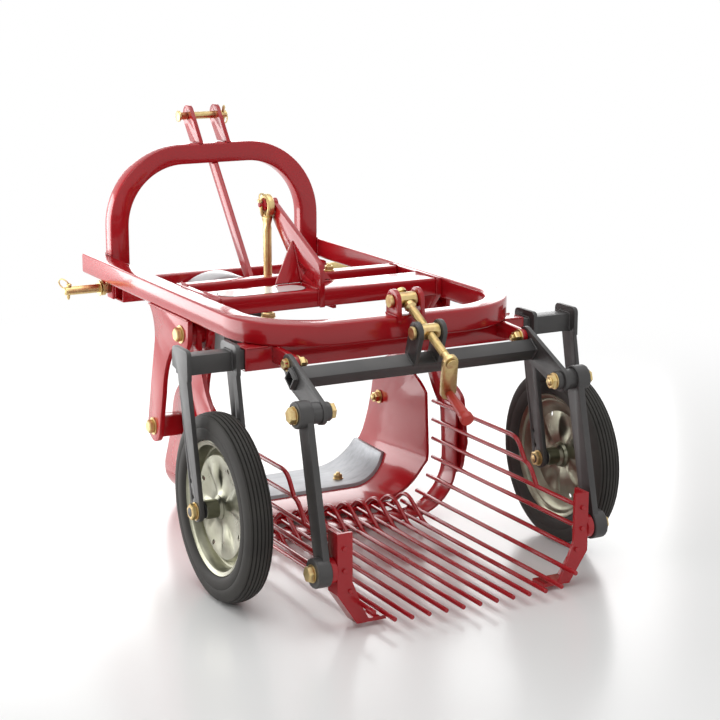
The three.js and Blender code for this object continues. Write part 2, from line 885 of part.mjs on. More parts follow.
// The arms that hang from the upper bolts and carry the front of the sieve.
function sieveHangers() {
  const inner = sieveHalfWidth + bandInner + bandWall + hangerClearance;
  const wall = 10;
  const eye = 28;
  const foot = 46;
  const outline = new THREE.Shape()
    .moveTo(upperBoltY + eye, upperBoltZ)
    .absarc(upperBoltY, upperBoltZ, eye, 0, Math.PI, false)
    .quadraticCurveTo(upperBoltY - 36, 380, 300, 322)
    .quadraticCurveTo(250, 306, 242, 287)
    .lineTo(sievePivotY - foot - 14, sievePivotZ + 40)
    .lineTo(sievePivotY - foot, sievePivotZ)
    .absarc(sievePivotY, sievePivotZ, foot, Math.PI, 2 * Math.PI, false)
    .lineTo(sievePivotY + 56, 250)
    .quadraticCurveTo(upperBoltY + 20, 320, upperBoltY + eye, 420);
  bothSides((name, side) =>
    add(
      "sieve_hanger_" + name,
      join(
        plateX(outline, ...spanX(side, inner, inner + wall)),
        pinX(25, ...spanX(side, innerPlateOuter + gap, sideX - gap), upperBoltY, upperBoltZ),
        pinX(20, ...spanX(side, inner - hangerClearance + gap, inner + 1), sievePivotY, sievePivotZ),
      ),
      redPaint,
    ),
  );
}

// ---------------------------------------------------------------- rockshaft and its links

function rockshaft() {
  const tube = tubeX(rockHalfLength, rockTube, rockTube, rockTubeWall)
    .rotateX(rockTurn)
    .translate(0, rockTubeY, rockTubeZ);
  const ears = [-1, 1].map((side) => {
    const [x0, x1] = spanX(side, earHalfGap, earHalfGap + earPlate);
    return wrapped(
      [
        [rockTubeY - 12, rockTubeZ + 10, 14],
        [rockTubeY + 6, rockTubeZ + 20, 10],
        [lowerTrunnionY, lowerTrunnionZ, 24],
      ],
      spindleX + x0,
      spindleX + x1,
    );
  });
  const hollow = rockTube - 2 * rockTubeWall;
  const bore = new THREE.BoxGeometry(2 * rockHalfLength + 2, hollow, hollow)
    .rotateX(rockTurn)
    .translate(0, rockTubeY, rockTubeZ);
  const pins = pinX(
    9 + gap,
    spindleX - earHalfGap - earPlate - 1,
    spindleX + earHalfGap + earPlate + 1,
    lowerTrunnionY,
    lowerTrunnionZ,
  );
  add("rockshaft", cut(join(tube, ...ears), bore, pins), charcoalPaint);

  const socket = rockTube + 2 * gap;
  bothSides((name, side) => {
    const [x0, x1] = spanX(side, rockerX, rockerX + rockerPlate);
    const arm = wrapped(
      [
        [rockPivotY, rockPivotZ, 22],
        [rockTubeY, rockTubeZ, 30],
        [linkTopY, linkTopZ, 26],
      ],
      x0,
      x1,
    );
    const hole = new THREE.BoxGeometry(rockerPlate * 4, socket, socket)
      .rotateX(rockTurn)
      .translate((x0 + x1) / 2, rockTubeY, rockTubeZ);
    const pivotHole = pinX(8 + 1, x0 - 1, x1 + 1, rockPivotY, rockPivotZ);
    const boss = pinX(22, ...spanX(side, rockerX + 2, linkX - gap), linkTopY, linkTopZ);
    const pin = pinX(9, ...spanX(side, rockerX - 14, linkX + linkPlate + linkBoss + 8), linkTopY, linkTopZ);
    add("rocker_arm_" + name, join(cut(arm, hole, pivotHole), boss, pin), charcoalPaint);
  });
}

// Lugs under the rear corners of the frame with the bolts on which the rocker arms turn.
function rockerLugs() {
  const wall = 12;
  const outer = rockerX - 1;
  const front = forkTubeY - receiverTube / 2 - gap;
  bothSides((name, side) => {
    const lug = plateX(
      hullOf([
        [front, frameBottom - gap],
        [front - 20, frameBottom - gap],
        [front, rockPivotZ - 16],
        ...ringOf(rockPivotY, rockPivotZ, 16),
      ]),
      ...spanX(side, outer - wall, outer),
    );
    const pin = pinX(8, ...spanX(side, outer - wall - 12, rockerX + rockerPlate + 3), rockPivotY, rockPivotZ);
    const head = pinX(
      11,
      ...spanX(side, rockerX + rockerPlate + 1, rockerX + rockerPlate + 9),
      rockPivotY,
      rockPivotZ,
      6,
    );
    add("rocker_lug_" + name, join(lug, pin, head), redPaint);
  });
}

function swingLinks() {
  bothSides((name, side) => {
    const [x0, x1] = spanX(side, linkX, linkX + linkPlate);
    const bar = wrapped(
      [
        [linkTopY, linkTopZ, linkWidth / 2],
        [linkFootY, linkFootZ, linkWidth / 2],
      ],
      x0,
      x1,
    );
    const eye = pinX(27, ...spanX(side, linkX, linkX + linkPlate + linkBoss), linkTopY, linkTopZ);
    const bush = pinX(30, ...spanX(side, linkX, linkX + linkPlate + linkBoss), linkFootY, linkFootZ);
    const bore = pinX(10, x0 - linkBoss - 1, x1 + linkBoss + 1, linkTopY, linkTopZ);
    add("swing_link_" + name, cut(join(bar, eye, bush), bore), charcoalPaint);
  });
}

// ---------------------------------------------------------------- crank spindle

const spindleSlope = Math.atan2(upperTrunnionZ - lowerTrunnionZ, upperTrunnionY - lowerTrunnionY);

function spindleEars() {
  const foot = frameTop + gap;
  bothSides((name, side) => {
    const [x0, x1] = spanX(side, earHalfGap, earHalfGap + earPlate).map((x) => x + spindleX);
    const outline = new THREE.Shape()
      .moveTo(frameRear - 6, frameTop - 12)
      .lineTo(frameRear - gap, frameTop - 12)
      .lineTo(frameRear - gap, foot)
      .lineTo(upperTrunnionY + 26, foot)
      .absarc(upperTrunnionY, upperTrunnionZ, 25, 0, Math.PI, false);
    add(
      "spindle_ear_" + name,
      cut(plateX(outline, x0, x1), pinX(9 + gap, x0 - 1, x1 + 1, upperTrunnionY, upperTrunnionZ)),
      redPaint,
    );
  });
}

// A trunnion at the origin, bored along its own Y for the spindle.
function trunnion(bore) {
  const half = earHalfGap - 1;
  const reach = earHalfGap + earPlate + 5;
  return cut(
    join(
      pinX(sleeveRadius, -half, half, 0, 0),
      pinX(9, -reach, reach, 0, 0),
      pinX(12, -reach - 4, -reach, 0, 0),
      pinX(12, reach, reach + 4, 0, 0),
    ),
    pinY(bore, -40, 40, 0, 0),
  );
}

function spindle() {
  const place = (y, z) => {
    const group = new THREE.Group();
    group.position.set(spindleX, y, z);
    group.rotation.x = spindleSlope;
    harvester.add(group);
    return group;
  };
  const upper = place(upperTrunnionY, upperTrunnionZ);
  const lower = place(lowerTrunnionY, lowerTrunnionZ);
  add("upper_trunnion", trunnion(spindleRadius + 1), yellowZinc, upper);
  add("lower_trunnion", trunnion(spindleRadius + 1.5), yellowZinc, lower);

  // Along the group's own -Y: collars at the upper trunnion, then the screw, then the crank.
  const between = Math.hypot(upperTrunnionY - lowerTrunnionY, upperTrunnionZ - lowerTrunnionZ);
  const end = -between - spindleReach;
  const collar = [sleeveRadius + 1, sleeveRadius + 11];
  const screw = join(
    pinY(spindleRadius, end, collar[1] + 4, 0, 0),
    pinY(collarRadius, collar[0], collar[1], 0, 0),
    pinY(collarRadius, -collar[1], -collar[0], 0, 0),
  );
  add("spindle_screw", screw, yellowZinc, upper);
  const crankWall = 10;
  const crank = cut(
    plateY(
      hullOf([
        ...ringOf(0, 0, 17),
        ...ringOf(0, -crankLength, 17),
      ]),
      end + 2,
      end + 2 + crankWall,
    ),
    pinY(spindleRadius + gap, end, end + 20, 0, 0),
  );
  add("crank_arm", crank.rotateY(crankTurn), yellowZinc, upper);
  const grip = join(
    pinY(12, end + 2 - gap - handleLength, end + 2 - gap, 0, -crankLength),
    pinY(15, end + 2 - gap - handleLength - 8, end + 2 - gap - handleLength + 6, 0, -crankLength),
  );
  add("crank_handle", grip.rotateY(crankTurn), orangePlastic, upper);
}

// ---------------------------------------------------------------- wheels

function wheelForks() {
  const receiverHalf = frameHalfWidth + 4;
  const receiver = add(
    "wheel_receiver",
    tubeX(receiverHalf, receiverTube, receiverTube, (receiverTube - forkTube) / 2 - gap),
    redPaint,
  );
  const tubeZ = frameBottom - gap - receiverTube / 2;
  receiver.position.set(0, forkTubeY, tubeZ);

  const legTop = tubeZ + 36;
  const leg = (x0, x1) =>
    plateX(
      hullOf([
        [forkTubeY - 40, tubeZ - 28],
        [forkTubeY + 40, tubeZ - 8],
        ...ringOf(forkTubeY - 28, legTop - 12, 12),
        ...ringOf(forkTubeY + 28, legTop - 12, 12),
      ]),
      x0,
      x1,
    );
  const strut = (x0, x1) =>
    wrapped(
      [
        [0, axleZ, 23],
        [forkTubeY - 8, tubeZ, 23],
      ],
      x0,
      x1,
    );
  bothSides((name, side) => {
    const inner = spanX(side, forkInnerX, forkInnerX + forkPlate);
    const outer = spanX(side, forkOuterX, forkOuterX + forkPlate);
    const tube = spanX(side, 120, forkOuterX + forkPlate);
    const half = forkTube / 2;
    add(
      "wheel_fork_" + name,
      join(
        block([tube[0], forkTubeY - half, tubeZ - half], [tube[1], forkTubeY + half, tubeZ + half]),
        leg(...inner),
        strut(...inner),
        leg(...outer),
        strut(...outer),
        pinX(axleRadius, ...spanX(side, forkInnerX - 14, forkOuterX + forkPlate + 14), 0, axleZ),
      ),
      charcoalPaint,
    );
  });
}

function wheels() {
  const half = tyreWidth / 2;
  const tyreProfile = [
    [rimRadius + gap, -half + 8],
    [rimRadius + 14, -half],
    [wheelRadius - 22, -half],
    [wheelRadius - 8, -half + 5],
    [wheelRadius - 1.5, -half + 16],
    [wheelRadius, -6],
    [wheelRadius, 6],
    [wheelRadius - 1.5, half - 16],
    [wheelRadius - 8, half - 5],
    [wheelRadius - 22, half],
    [rimRadius + 14, half],
    [rimRadius + gap, half - 8],
    [rimRadius + gap, -half + 8],
  ];
  const hub = 24;
  const hubHalf = forkGap / 2 - 8;
  const rimProfile = [
    [axleRadius + 1, -hubHalf],
    [hub, -hubHalf],
    [hub, -12],
    [rimRadius - 30, -7],
    [rimRadius - 14, -half + 10],
    [rimRadius, -half + 8],
    [rimRadius, half - 8],
    [rimRadius - 14, half - 10],
    [rimRadius - 30, 0],
    [hub, -5],
    [hub, hubHalf],
    [axleRadius + 1, hubHalf],
    [axleRadius + 1, -hubHalf],
  ];
  const turned = (profile, segments) =>
    new THREE.LatheGeometry(
      profile.map(([r, w]) => new THREE.Vector2(r, w)),
      segments,
    ).rotateZ(Math.PI / 2);
  bothSides((name, side) => {
    const group = new THREE.Group();
    group.position.set(side * wheelX, 0, axleZ);
    group.rotation.z = side > 0 ? 0 : Math.PI;
    harvester.add(group);
    add("tyre_" + name, turned(tyreProfile, wheelSides), blackRubber, group);
    add("wheel_rim_" + name, turned(rimProfile, wheelSides), brightZinc, group);
  });
}

// ---------------------------------------------------------------- assembly

mainFrame();
crossbars();
innerPlates();
sidePlates();
lowerSpacers();
hitchArch();
hitchTube();
lowerLinkPins();
topLinkPlates();
driveCradle();
mastBrace();
drive();
hangerArm();
hangerRod();
share();
shareFingers();
sieve();
sieveUprights();
sieveHangers();
rockerLugs();
rockshaft();
swingLinks();
spindleEars();
spindle();
wheelForks();
wheels();

harvester.position.y = -(topPinY + clevisEye + sieveRear) / 2;

export default harvester;
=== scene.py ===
# A small tractor-mounted potato harvester: red tube frame, two wheels, a digging share and a rod sieve.
# Lengths in the dictionaries are millimetres, measured from the point on the ground below the axles.
import json
import math
import random
import bpy
from mathutils import Matrix, Vector


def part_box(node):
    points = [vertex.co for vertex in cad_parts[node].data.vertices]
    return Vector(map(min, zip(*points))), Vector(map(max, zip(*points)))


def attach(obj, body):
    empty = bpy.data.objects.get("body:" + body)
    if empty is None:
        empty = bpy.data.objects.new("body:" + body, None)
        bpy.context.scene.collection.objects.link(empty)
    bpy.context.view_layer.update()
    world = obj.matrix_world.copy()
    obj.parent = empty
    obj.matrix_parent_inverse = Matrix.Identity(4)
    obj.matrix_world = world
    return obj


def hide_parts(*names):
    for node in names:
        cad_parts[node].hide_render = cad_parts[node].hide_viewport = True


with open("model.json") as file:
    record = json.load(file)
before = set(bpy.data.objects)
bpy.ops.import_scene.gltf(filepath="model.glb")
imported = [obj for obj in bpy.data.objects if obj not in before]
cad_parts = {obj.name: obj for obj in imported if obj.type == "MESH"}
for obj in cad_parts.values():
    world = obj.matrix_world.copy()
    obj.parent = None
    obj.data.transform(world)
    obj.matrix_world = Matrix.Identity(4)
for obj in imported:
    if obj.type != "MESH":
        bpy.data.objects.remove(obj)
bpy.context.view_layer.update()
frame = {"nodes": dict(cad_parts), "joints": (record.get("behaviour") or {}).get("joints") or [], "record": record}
cad = frame["nodes"]
joints = {joint["name"]: joint for joint in frame["joints"]}
bodyOf = {node: body for body, members in frame["record"]["behaviour"]["bodies"].items() for node in members}
slotOf = {part["node"]: part["material_slot"] for part in frame["record"]["subparts"]}
axleY = joints["wheel_spin_left"]["pos_m"][1]


def mm(x, y, z):
    return Vector((x / 1000, y / 1000 + axleY, z / 1000))


view = {"azimuth": -28.127, "elevation": 13.052, "place": (-1898.5, -3368.9, 1363.5), "lens": 92.44}


def addCamera():
    turn = (math.radians(90 - view["elevation"]), 0, math.radians(view["azimuth"]))
    bpy.ops.object.camera_add(location=mm(*view["place"]), rotation=turn)
    camera = bpy.context.object
    camera.data.lens = view["lens"]
    camera.data.sensor_width = 36
    camera.data.clip_end = 100
    bpy.context.scene.camera = camera


addCamera()
print("camera placed")


def linear(colour):
    parts = [int(colour[i : i + 2], 16) / 255 for i in (1, 3, 5)]
    return [*[p / 12.92 if p <= 0.04045 else ((p + 0.055) / 1.055) ** 2.4 for p in parts], 1]


def addNode(tree, kind, inputs=None, stops=(), **settings):
    node = tree.nodes.new(kind)
    for name, value in settings.items():
        setattr(node, name, value)
    for name, value in (inputs or {}).items():
        if isinstance(value, bpy.types.NodeSocket):
            tree.links.new(value, node.inputs[name])
        else:
            node.inputs[name].default_value = value
    for i, (place, colour) in enumerate(stops):
        element = node.color_ramp.elements[i] if i < 2 else node.color_ramp.elements.new(place)
        element.position = place
        element.color = linear(colour)
    return node


def newMaterial(name):
    material = bpy.data.materials.new(name)
    material.use_nodes = True
    material.node_tree.nodes.clear()
    return material, material.node_tree


def finishMaterial(material, surface):
    tree = material.node_tree
    addNode(tree, "ShaderNodeOutputMaterial", {"Surface": surface})
    return material


# Soft boxes: a wide one overhead, one low on the left and one low behind, which the paint mirrors.
lights = {
    "top": {"place": (-200, 200, 3300), "aim": (0, 300, 300), "size": (3200, 3200), "power": 56},
    "left": {"place": (-1350, 2000, 560), "aim": (0, 1500, 420), "size": (2800, 1000), "power": 38},
    "back": {"place": (1350, 3300, 1150), "aim": (0, 500, 600), "size": (3200, 1200), "power": 34},
    "rear": {"place": (-600, -3600, 2300), "aim": (0, 300, 300), "size": (1400, 1000), "power": 14},
}


def addLights():
    for name, light in lights.items():
        place = mm(*light["place"])
        turn = (place - mm(*light["aim"])).to_track_quat("Z", "Y").to_euler()
        bpy.ops.object.light_add(type="AREA", location=place, rotation=turn)
        lamp = bpy.context.object
        lamp.name = "light_" + name
        lamp.data.shape = "RECTANGLE"
        lamp.data.size, lamp.data.size_y = light["size"][0] / 1000, light["size"][1] / 1000
        lamp.data.energy = light["power"]
        lamp.visible_camera = False
    world = bpy.data.worlds.new("studio")
    bpy.context.scene.world = world
    world.use_nodes = True
    tree = world.node_tree
    tree.nodes.clear()
    path = addNode(tree, "ShaderNodeLightPath")
    clear = addNode(
        tree, "ShaderNodeMath", {0: path.outputs["Is Camera Ray"], 1: path.outputs["Is Transmission Ray"]},
        operation="MAXIMUM",
    )
    seen = addNode(
        tree, "ShaderNodeMath", {0: clear.outputs[0], 1: path.outputs["Is Glossy Ray"]},
        operation="MAXIMUM",
    )
    fill = addNode(tree, "ShaderNodeBackground", {"Color": (1, 1, 1, 1), "Strength": 0.34})
    white = addNode(tree, "ShaderNodeBackground", {"Color": (1, 1, 1, 1), "Strength": 1})
    mix = addNode(tree, "ShaderNodeMixShader", {0: seen.outputs[0], 1: fill.outputs[0], 2: white.outputs[0]})
    addNode(tree, "ShaderNodeOutputWorld", {"Surface": mix.outputs[0]})


floorSize = {"radius": 14000, "near": 0.9, "far": 2.6}


def addFloor():
    bpy.ops.mesh.primitive_circle_add(
        vertices=96, radius=floorSize["radius"] / 1000, fill_type="NGON", location=(0, 0, 0),
    )
    floor = bpy.context.object
    floor.name = "studio_floor"
    material, tree = newMaterial("white studio floor, lightly glossy")
    place = addNode(tree, "ShaderNodeTexCoord").outputs["Object"]
    distance = addNode(tree, "ShaderNodeVectorMath", {0: place}, operation="LENGTH").outputs["Value"]
    fade = addNode(
        tree, "ShaderNodeMapRange",
        {"Value": distance, "From Min": floorSize["near"], "From Max": floorSize["far"]},
        interpolation_type="SMOOTHSTEP",
    )
    sheet = addNode(
        tree, "ShaderNodeBsdfPrincipled",
        {"Base Color": linear("#f7f7f6"), "Roughness": 0.22, "Specular IOR Level": 0.35},
    )
    glow = addNode(tree, "ShaderNodeEmission", {"Color": (1, 1, 1, 1), "Strength": 1})
    mix = addNode(tree, "ShaderNodeMixShader", {0: fade.outputs[0], 1: sheet.outputs[0], 2: glow.outputs[0]})
    floor.data.materials.append(finishMaterial(material, mix.outputs[0]))


addLights()
addFloor()
bpy.context.scene.view_settings.view_transform = "Standard"
print("floor and lights placed")


def objectNoise(tree, millimetres, detail=2, stretch=None):
    place = addNode(tree, "ShaderNodeTexCoord").outputs["Object"]
    if stretch:
        place = addNode(tree, "ShaderNodeMapping", {"Vector": place, "Scale": stretch}).outputs[0]
    return addNode(
        tree, "ShaderNodeTexNoise", {"Vector": place, "Scale": 1000 / millimetres, "Detail": detail},
    ).outputs["Fac"]


def redEnamel():
    # glossy enamel on steel: deep red under a clear skin that mirrors the lamps, with a faint orange peel
    material, tree = newMaterial("red gloss enamel on steel")
    tone = addNode(
        tree, "ShaderNodeValToRGB", {"Fac": objectNoise(tree, 260)}, [(0.3, "#a30f19"), (0.7, "#b0151f")],
    ).outputs["Color"]
    peel = addNode(
        tree, "ShaderNodeBump", {"Height": objectNoise(tree, 9, 1), "Strength": 0.12, "Distance": 0.0003},
    ).outputs[0]
    skin = addNode(tree, "ShaderNodeBsdfPrincipled", {
        "Base Color": tone, "Roughness": 0.2, "IOR": 1.38, "Normal": peel,
        "Coat Weight": 0.35, "Coat Roughness": 0.05, "Coat IOR": 1.5, "Coat Normal": peel,
    })
    return finishMaterial(material, skin.outputs[0])


def charcoalPaint():
    # one coat of satin machine paint, a little uneven where it was sprayed on
    material, tree = newMaterial("charcoal machine paint")
    tone = addNode(
        tree, "ShaderNodeValToRGB", {"Fac": objectNoise(tree, 90, 3)}, [(0.3, "#363535"), (0.7, "#444241")],
    ).outputs["Color"]
    rough = addNode(
        tree, "ShaderNodeMapRange", {"Value": objectNoise(tree, 40, 3), "To Min": 0.34, "To Max": 0.5},
    ).outputs[0]
    grain = addNode(
        tree, "ShaderNodeBump", {"Height": objectNoise(tree, 1.8, 2), "Strength": 0.18, "Distance": 0.0002},
    ).outputs[0]
    skin = addNode(
        tree, "ShaderNodeBsdfPrincipled", {"Base Color": tone, "Roughness": rough, "Normal": grain},
    )
    return finishMaterial(material, skin.outputs[0])


def yellowZinc():
    # zinc plating with a yellow chromate: brass-like, with faint pink and green clouds
    material, tree = newMaterial("yellow chromated zinc")
    tone = addNode(
        tree, "ShaderNodeValToRGB", {"Fac": objectNoise(tree, 16, 3)},
        [(0.3, "#c2aa70"), (0.5, "#d0b985"), (0.72, "#c09d70")],
    ).outputs["Color"]
    rough = addNode(
        tree, "ShaderNodeMapRange", {"Value": objectNoise(tree, 7, 3), "To Min": 0.26, "To Max": 0.42},
    ).outputs[0]
    skin = addNode(tree, "ShaderNodeBsdfPrincipled", {"Base Color": tone, "Metallic": 1, "Roughness": rough})
    return finishMaterial(material, skin.outputs[0])


def clearZinc():
    # pressed sheet with clear zinc plating: cool, a little cloudy, softly mirror-like
    material, tree = newMaterial("clear zinc plate")
    tone = addNode(
        tree, "ShaderNodeValToRGB", {"Fac": objectNoise(tree, 45, 4)}, [(0.3, "#7a7969"), (0.7, "#929181")],
    ).outputs["Color"]
    rough = addNode(
        tree, "ShaderNodeMapRange", {"Value": objectNoise(tree, 22, 4), "To Min": 0.22, "To Max": 0.38},
    ).outputs[0]
    wave = addNode(
        tree, "ShaderNodeBump", {"Height": objectNoise(tree, 60, 1), "Strength": 0.25, "Distance": 0.0012},
    ).outputs[0]
    skin = addNode(
        tree, "ShaderNodeBsdfPrincipled",
        {"Base Color": tone, "Metallic": 1, "Roughness": rough, "Normal": wave},
    )
    return finishMaterial(material, skin.outputs[0])


def wearSteel():
    # rolled wear plate without paint: grey, streaked along the way it was rolled
    material, tree = newMaterial("rolled wear steel")
    streak = objectNoise(tree, 14, 4, (0.12, 1, 1))
    tone = addNode(
        tree, "ShaderNodeValToRGB", {"Fac": streak},
        [(0.25, "#87888a"), (0.6, "#97989b"), (0.85, "#8e8b89")],
    ).outputs["Color"]
    rough = addNode(
        tree, "ShaderNodeMapRange", {"Value": objectNoise(tree, 30, 4), "To Min": 0.42, "To Max": 0.56},
    ).outputs[0]
    lines = addNode(
        tree, "ShaderNodeBump",
        {"Height": objectNoise(tree, 3, 2, (0.06, 1, 1)), "Strength": 0.15, "Distance": 0.0002},
    ).outputs[0]
    skin = addNode(
        tree, "ShaderNodeBsdfPrincipled",
        {"Base Color": tone, "Metallic": 1, "Roughness": rough, "Normal": lines},
    )
    return finishMaterial(material, skin.outputs[0])


def tyreRubber():
    # vulcanised rubber: matt dark grey with a faint bloom and little shine
    material, tree = newMaterial("tyre rubber")
    tone = addNode(
        tree, "ShaderNodeValToRGB", {"Fac": objectNoise(tree, 70, 4)}, [(0.3, "#353331"), (0.7, "#413f3c")],
    ).outputs["Color"]
    grain = addNode(
        tree, "ShaderNodeBump", {"Height": objectNoise(tree, 2.2, 3), "Strength": 0.2, "Distance": 0.0003},
    ).outputs[0]
    rough = addNode(
        tree, "ShaderNodeMapRange", {"Value": objectNoise(tree, 35, 3), "To Min": 0.6, "To Max": 0.74},
    ).outputs[0]
    skin = addNode(tree, "ShaderNodeBsdfPrincipled", {
        "Base Color": tone, "Roughness": rough, "Specular IOR Level": 0.22, "Normal": grain,
    })
    return finishMaterial(material, skin.outputs[0])


def greyPaint():
    # light grey enamel on the drive's guard
    material, tree = newMaterial("light grey enamel")
    tone = addNode(
        tree, "ShaderNodeValToRGB", {"Fac": objectNoise(tree, 120, 2)},
        [(0.3, "#b3b5b7"), (0.7, "#bfc1c2")],
    ).outputs["Color"]
    skin = addNode(
        tree, "ShaderNodeBsdfPrincipled",
        {"Base Color": tone, "Roughness": 0.35, "Coat Weight": 0.4, "Coat Roughness": 0.15},
    )
    return finishMaterial(material, skin.outputs[0])


def gripPlastic():
    # moulded polypropylene grip, waxy
    material, tree = newMaterial("moulded polypropylene grip")
    tone = addNode(
        tree, "ShaderNodeValToRGB", {"Fac": objectNoise(tree, 30, 2)}, [(0.3, "#b0281d"), (0.7, "#bc3124")],
    ).outputs["Color"]
    grain = addNode(
        tree, "ShaderNodeBump", {"Height": objectNoise(tree, 1.5, 1), "Strength": 0.1, "Distance": 0.0002},
    ).outputs[0]
    skin = addNode(
        tree, "ShaderNodeBsdfPrincipled",
        {
            "Base Color": tone, "Roughness": 0.38, "Normal": grain, "Subsurface Weight": 0.05,
            "Subsurface Scale": 0.004,
        },
    )
    return finishMaterial(material, skin.outputs[0])


def labelFilm():
    # white vinyl film under a gloss laminate
    material, tree = newMaterial("white vinyl film")
    tone = addNode(
        tree, "ShaderNodeValToRGB", {"Fac": objectNoise(tree, 90, 1)}, [(0.3, "#efeeec"), (0.7, "#f6f5f4")],
    ).outputs["Color"]
    skin = addNode(
        tree, "ShaderNodeBsdfPrincipled", {"Base Color": tone, "Roughness": 0.25, "Coat Weight": 0.6},
    )
    return finishMaterial(material, skin.outputs[0])


def bushRubber():
    # soft black rubber of the bushes
    material, tree = newMaterial("soft bush rubber")
    tone = addNode(
        tree, "ShaderNodeValToRGB", {"Fac": objectNoise(tree, 20, 3)}, [(0.3, "#191818"), (0.7, "#262424")],
    ).outputs["Color"]
    skin = addNode(tree, "ShaderNodeBsdfPrincipled", {"Base Color": tone, "Roughness": 0.7})
    return finishMaterial(material, skin.outputs[0])


finishes = {
    "red_paint": redEnamel(),
    "charcoal_paint": charcoalPaint(),
    "yellow_zinc": yellowZinc(),
    "bright_zinc": clearZinc(),
    "wear_steel": wearSteel(),
    "tyre": tyreRubber(),
    "grey_paint": greyPaint(),
    "orange_plastic": gripPlastic(),
}
film = labelFilm()
bush = bushRubber()
print("materials made")


def deselectAll():
    if bpy.context.object and bpy.context.object.mode != "OBJECT":
        bpy.ops.object.mode_set(mode="OBJECT")
    bpy.ops.object.select_all(action="DESELECT")


def pick(piece):
    deselectAll()
    piece.select_set(True)
    bpy.context.view_layer.objects.active = piece


def applyModifiers(piece):
    pick(piece)
    for modifier in list(piece.modifiers):
        bpy.ops.object.modifier_apply(modifier=modifier.name)


def roundEdges(piece, width, segments=2, angle=32):
    bevel = piece.modifiers.new("edges", "BEVEL")
    bevel.width = width / 1000
    bevel.segments = segments
    bevel.limit_method = "ANGLE"
    bevel.angle_limit = math.radians(angle)
    bevel.use_clamp_overlap = True
    applyModifiers(piece)


def smooth(piece, angle=30):
    pick(piece)
    bpy.ops.object.shade_smooth_by_angle(angle=math.radians(angle))


def settle(piece):
    pick(piece)
    bpy.ops.object.transform_apply(location=True, rotation=True, scale=True)


def finish(piece, name, body, slot, material=None, replaced=()):
    settle(piece)
    piece.name = name
    piece.data.name = name
    piece.data.materials.clear()
    piece.data.materials.append(material or finishes[slot])
    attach(piece, body)
    if replaced:
        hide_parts(*replaced)
    return piece


def mergeFlat(piece, angle=0.5):
    pick(piece)
    bpy.ops.object.mode_set(mode="EDIT")
    bpy.ops.mesh.select_all(action="SELECT")
    bpy.ops.mesh.remove_doubles(threshold=1e-5)
    bpy.ops.mesh.dissolve_limited(angle_limit=math.radians(angle))
    bpy.ops.object.mode_set(mode="OBJECT")


# A steel piece that keeps the frame's own shape and gets its rolled or ground edges.
def edged(node, width, segments=2):
    piece = cad[node].copy()
    piece.data = cad[node].data.copy()
    piece.parent = None
    for key in list(piece.keys()):
        del piece[key]
    bpy.context.scene.collection.objects.link(piece)
    mergeFlat(piece)
    roundEdges(piece, width, segments)
    smooth(piece)
    return finish(piece, node + "_steel", bodyOf[node], slotOf[node], replaced=[node])


edges = {
    "main_frame": (6, 3), "rear_crossbar": (4, 3), "front_crossbar": (4, 3), "hitch_arch": (4, 3),
    "hitch_tube": (3, 2), "wheel_receiver": (2, 2), "drive_cradle": (1.5, 2), "mast_brace": (1.5, 2),
    "gearbox_housing": (5, 3), "shaft_bearing": (2, 2), "share_plate": (0.8, 2),
    "wear_plate": (1, 2), "rockshaft": (2, 2), "crank_arm": (2, 2),
}
sideEdges = {
    "inner_plate": (1.2, 2), "side_plate": (1.5, 2), "share_spacer": (1.5, 2), "top_link_plate": (1.2, 2),
    "sieve_hanger": (1.5, 2), "rocker_lug": (1, 2), "rocker_arm": (1.5, 2),
    "swing_link": (2, 2), "spindle_ear": (1.2, 2), "wheel_fork": (2, 2),
}


def steelPieces():
    for node, (width, segments) in edges.items():
        edged(node, width, segments)
    for stem, (width, segments) in sideEdges.items():
        for side in ("left", "right"):
            edged(f"{stem}_{side}", width, segments)


steelPieces()
print("steel pieces edged")


def copyOf(pattern):
    piece = pattern.copy()
    piece.data = pattern.data.copy()
    bpy.context.scene.collection.objects.link(piece)
    return piece


# Stands a piece that was made round the Z axis at a place, with its Z axis along a direction.
def stand(piece, place, along, roll=0):
    turn = Vector(along).to_track_quat("Z", "Y").to_matrix().to_4x4()
    piece.matrix_world = Matrix.Translation(mm(*place)) @ turn @ Matrix.Rotation(roll, 4, "Z")
    settle(piece)
    return piece


def joinAll(pieces):
    deselectAll()
    for piece in pieces:
        piece.select_set(True)
    bpy.context.view_layer.objects.active = pieces[0]
    bpy.ops.object.join()
    return pieces[0]


def faceOutward(piece):
    pick(piece)
    bpy.ops.object.mode_set(mode="EDIT")
    bpy.ops.mesh.select_all(action="SELECT")
    bpy.ops.mesh.remove_doubles(threshold=1e-6)
    bpy.ops.mesh.normals_make_consistent(inside=False)
    bpy.ops.object.mode_set(mode="OBJECT")


# A turned piece round Z. Its profile is radius and height pairs: from axis to axis, or a ring that closes.
def turned(profile, steps=32, angle=30):
    ring = profile[0] == profile[-1]
    points = profile[:-1] if ring else profile
    deselectAll()
    bpy.ops.mesh.primitive_circle_add(vertices=len(points), radius=0.01)
    piece = bpy.context.object
    for vertex, (radius, height) in zip(piece.data.vertices, points):
        vertex.co = (radius / 1000, 0, height / 1000)
    bpy.ops.object.mode_set(mode="EDIT")
    bpy.ops.mesh.select_all(action="DESELECT")
    if not ring:
        bpy.ops.mesh.select_mode(type="EDGE")
        bpy.ops.object.mode_set(mode="OBJECT")
        piece.data.edges[-1].select = True
        bpy.ops.object.mode_set(mode="EDIT")
        bpy.ops.mesh.delete(type="EDGE")
        bpy.ops.mesh.select_mode(type="VERT")
    bpy.ops.mesh.select_all(action="SELECT")
    bpy.ops.mesh.spin(steps=steps, angle=2 * math.pi, center=(0, 0, 0), axis=(0, 0, 1))
    bpy.ops.object.mode_set(mode="OBJECT")
    faceOutward(piece)
    smooth(piece, angle)
    return piece


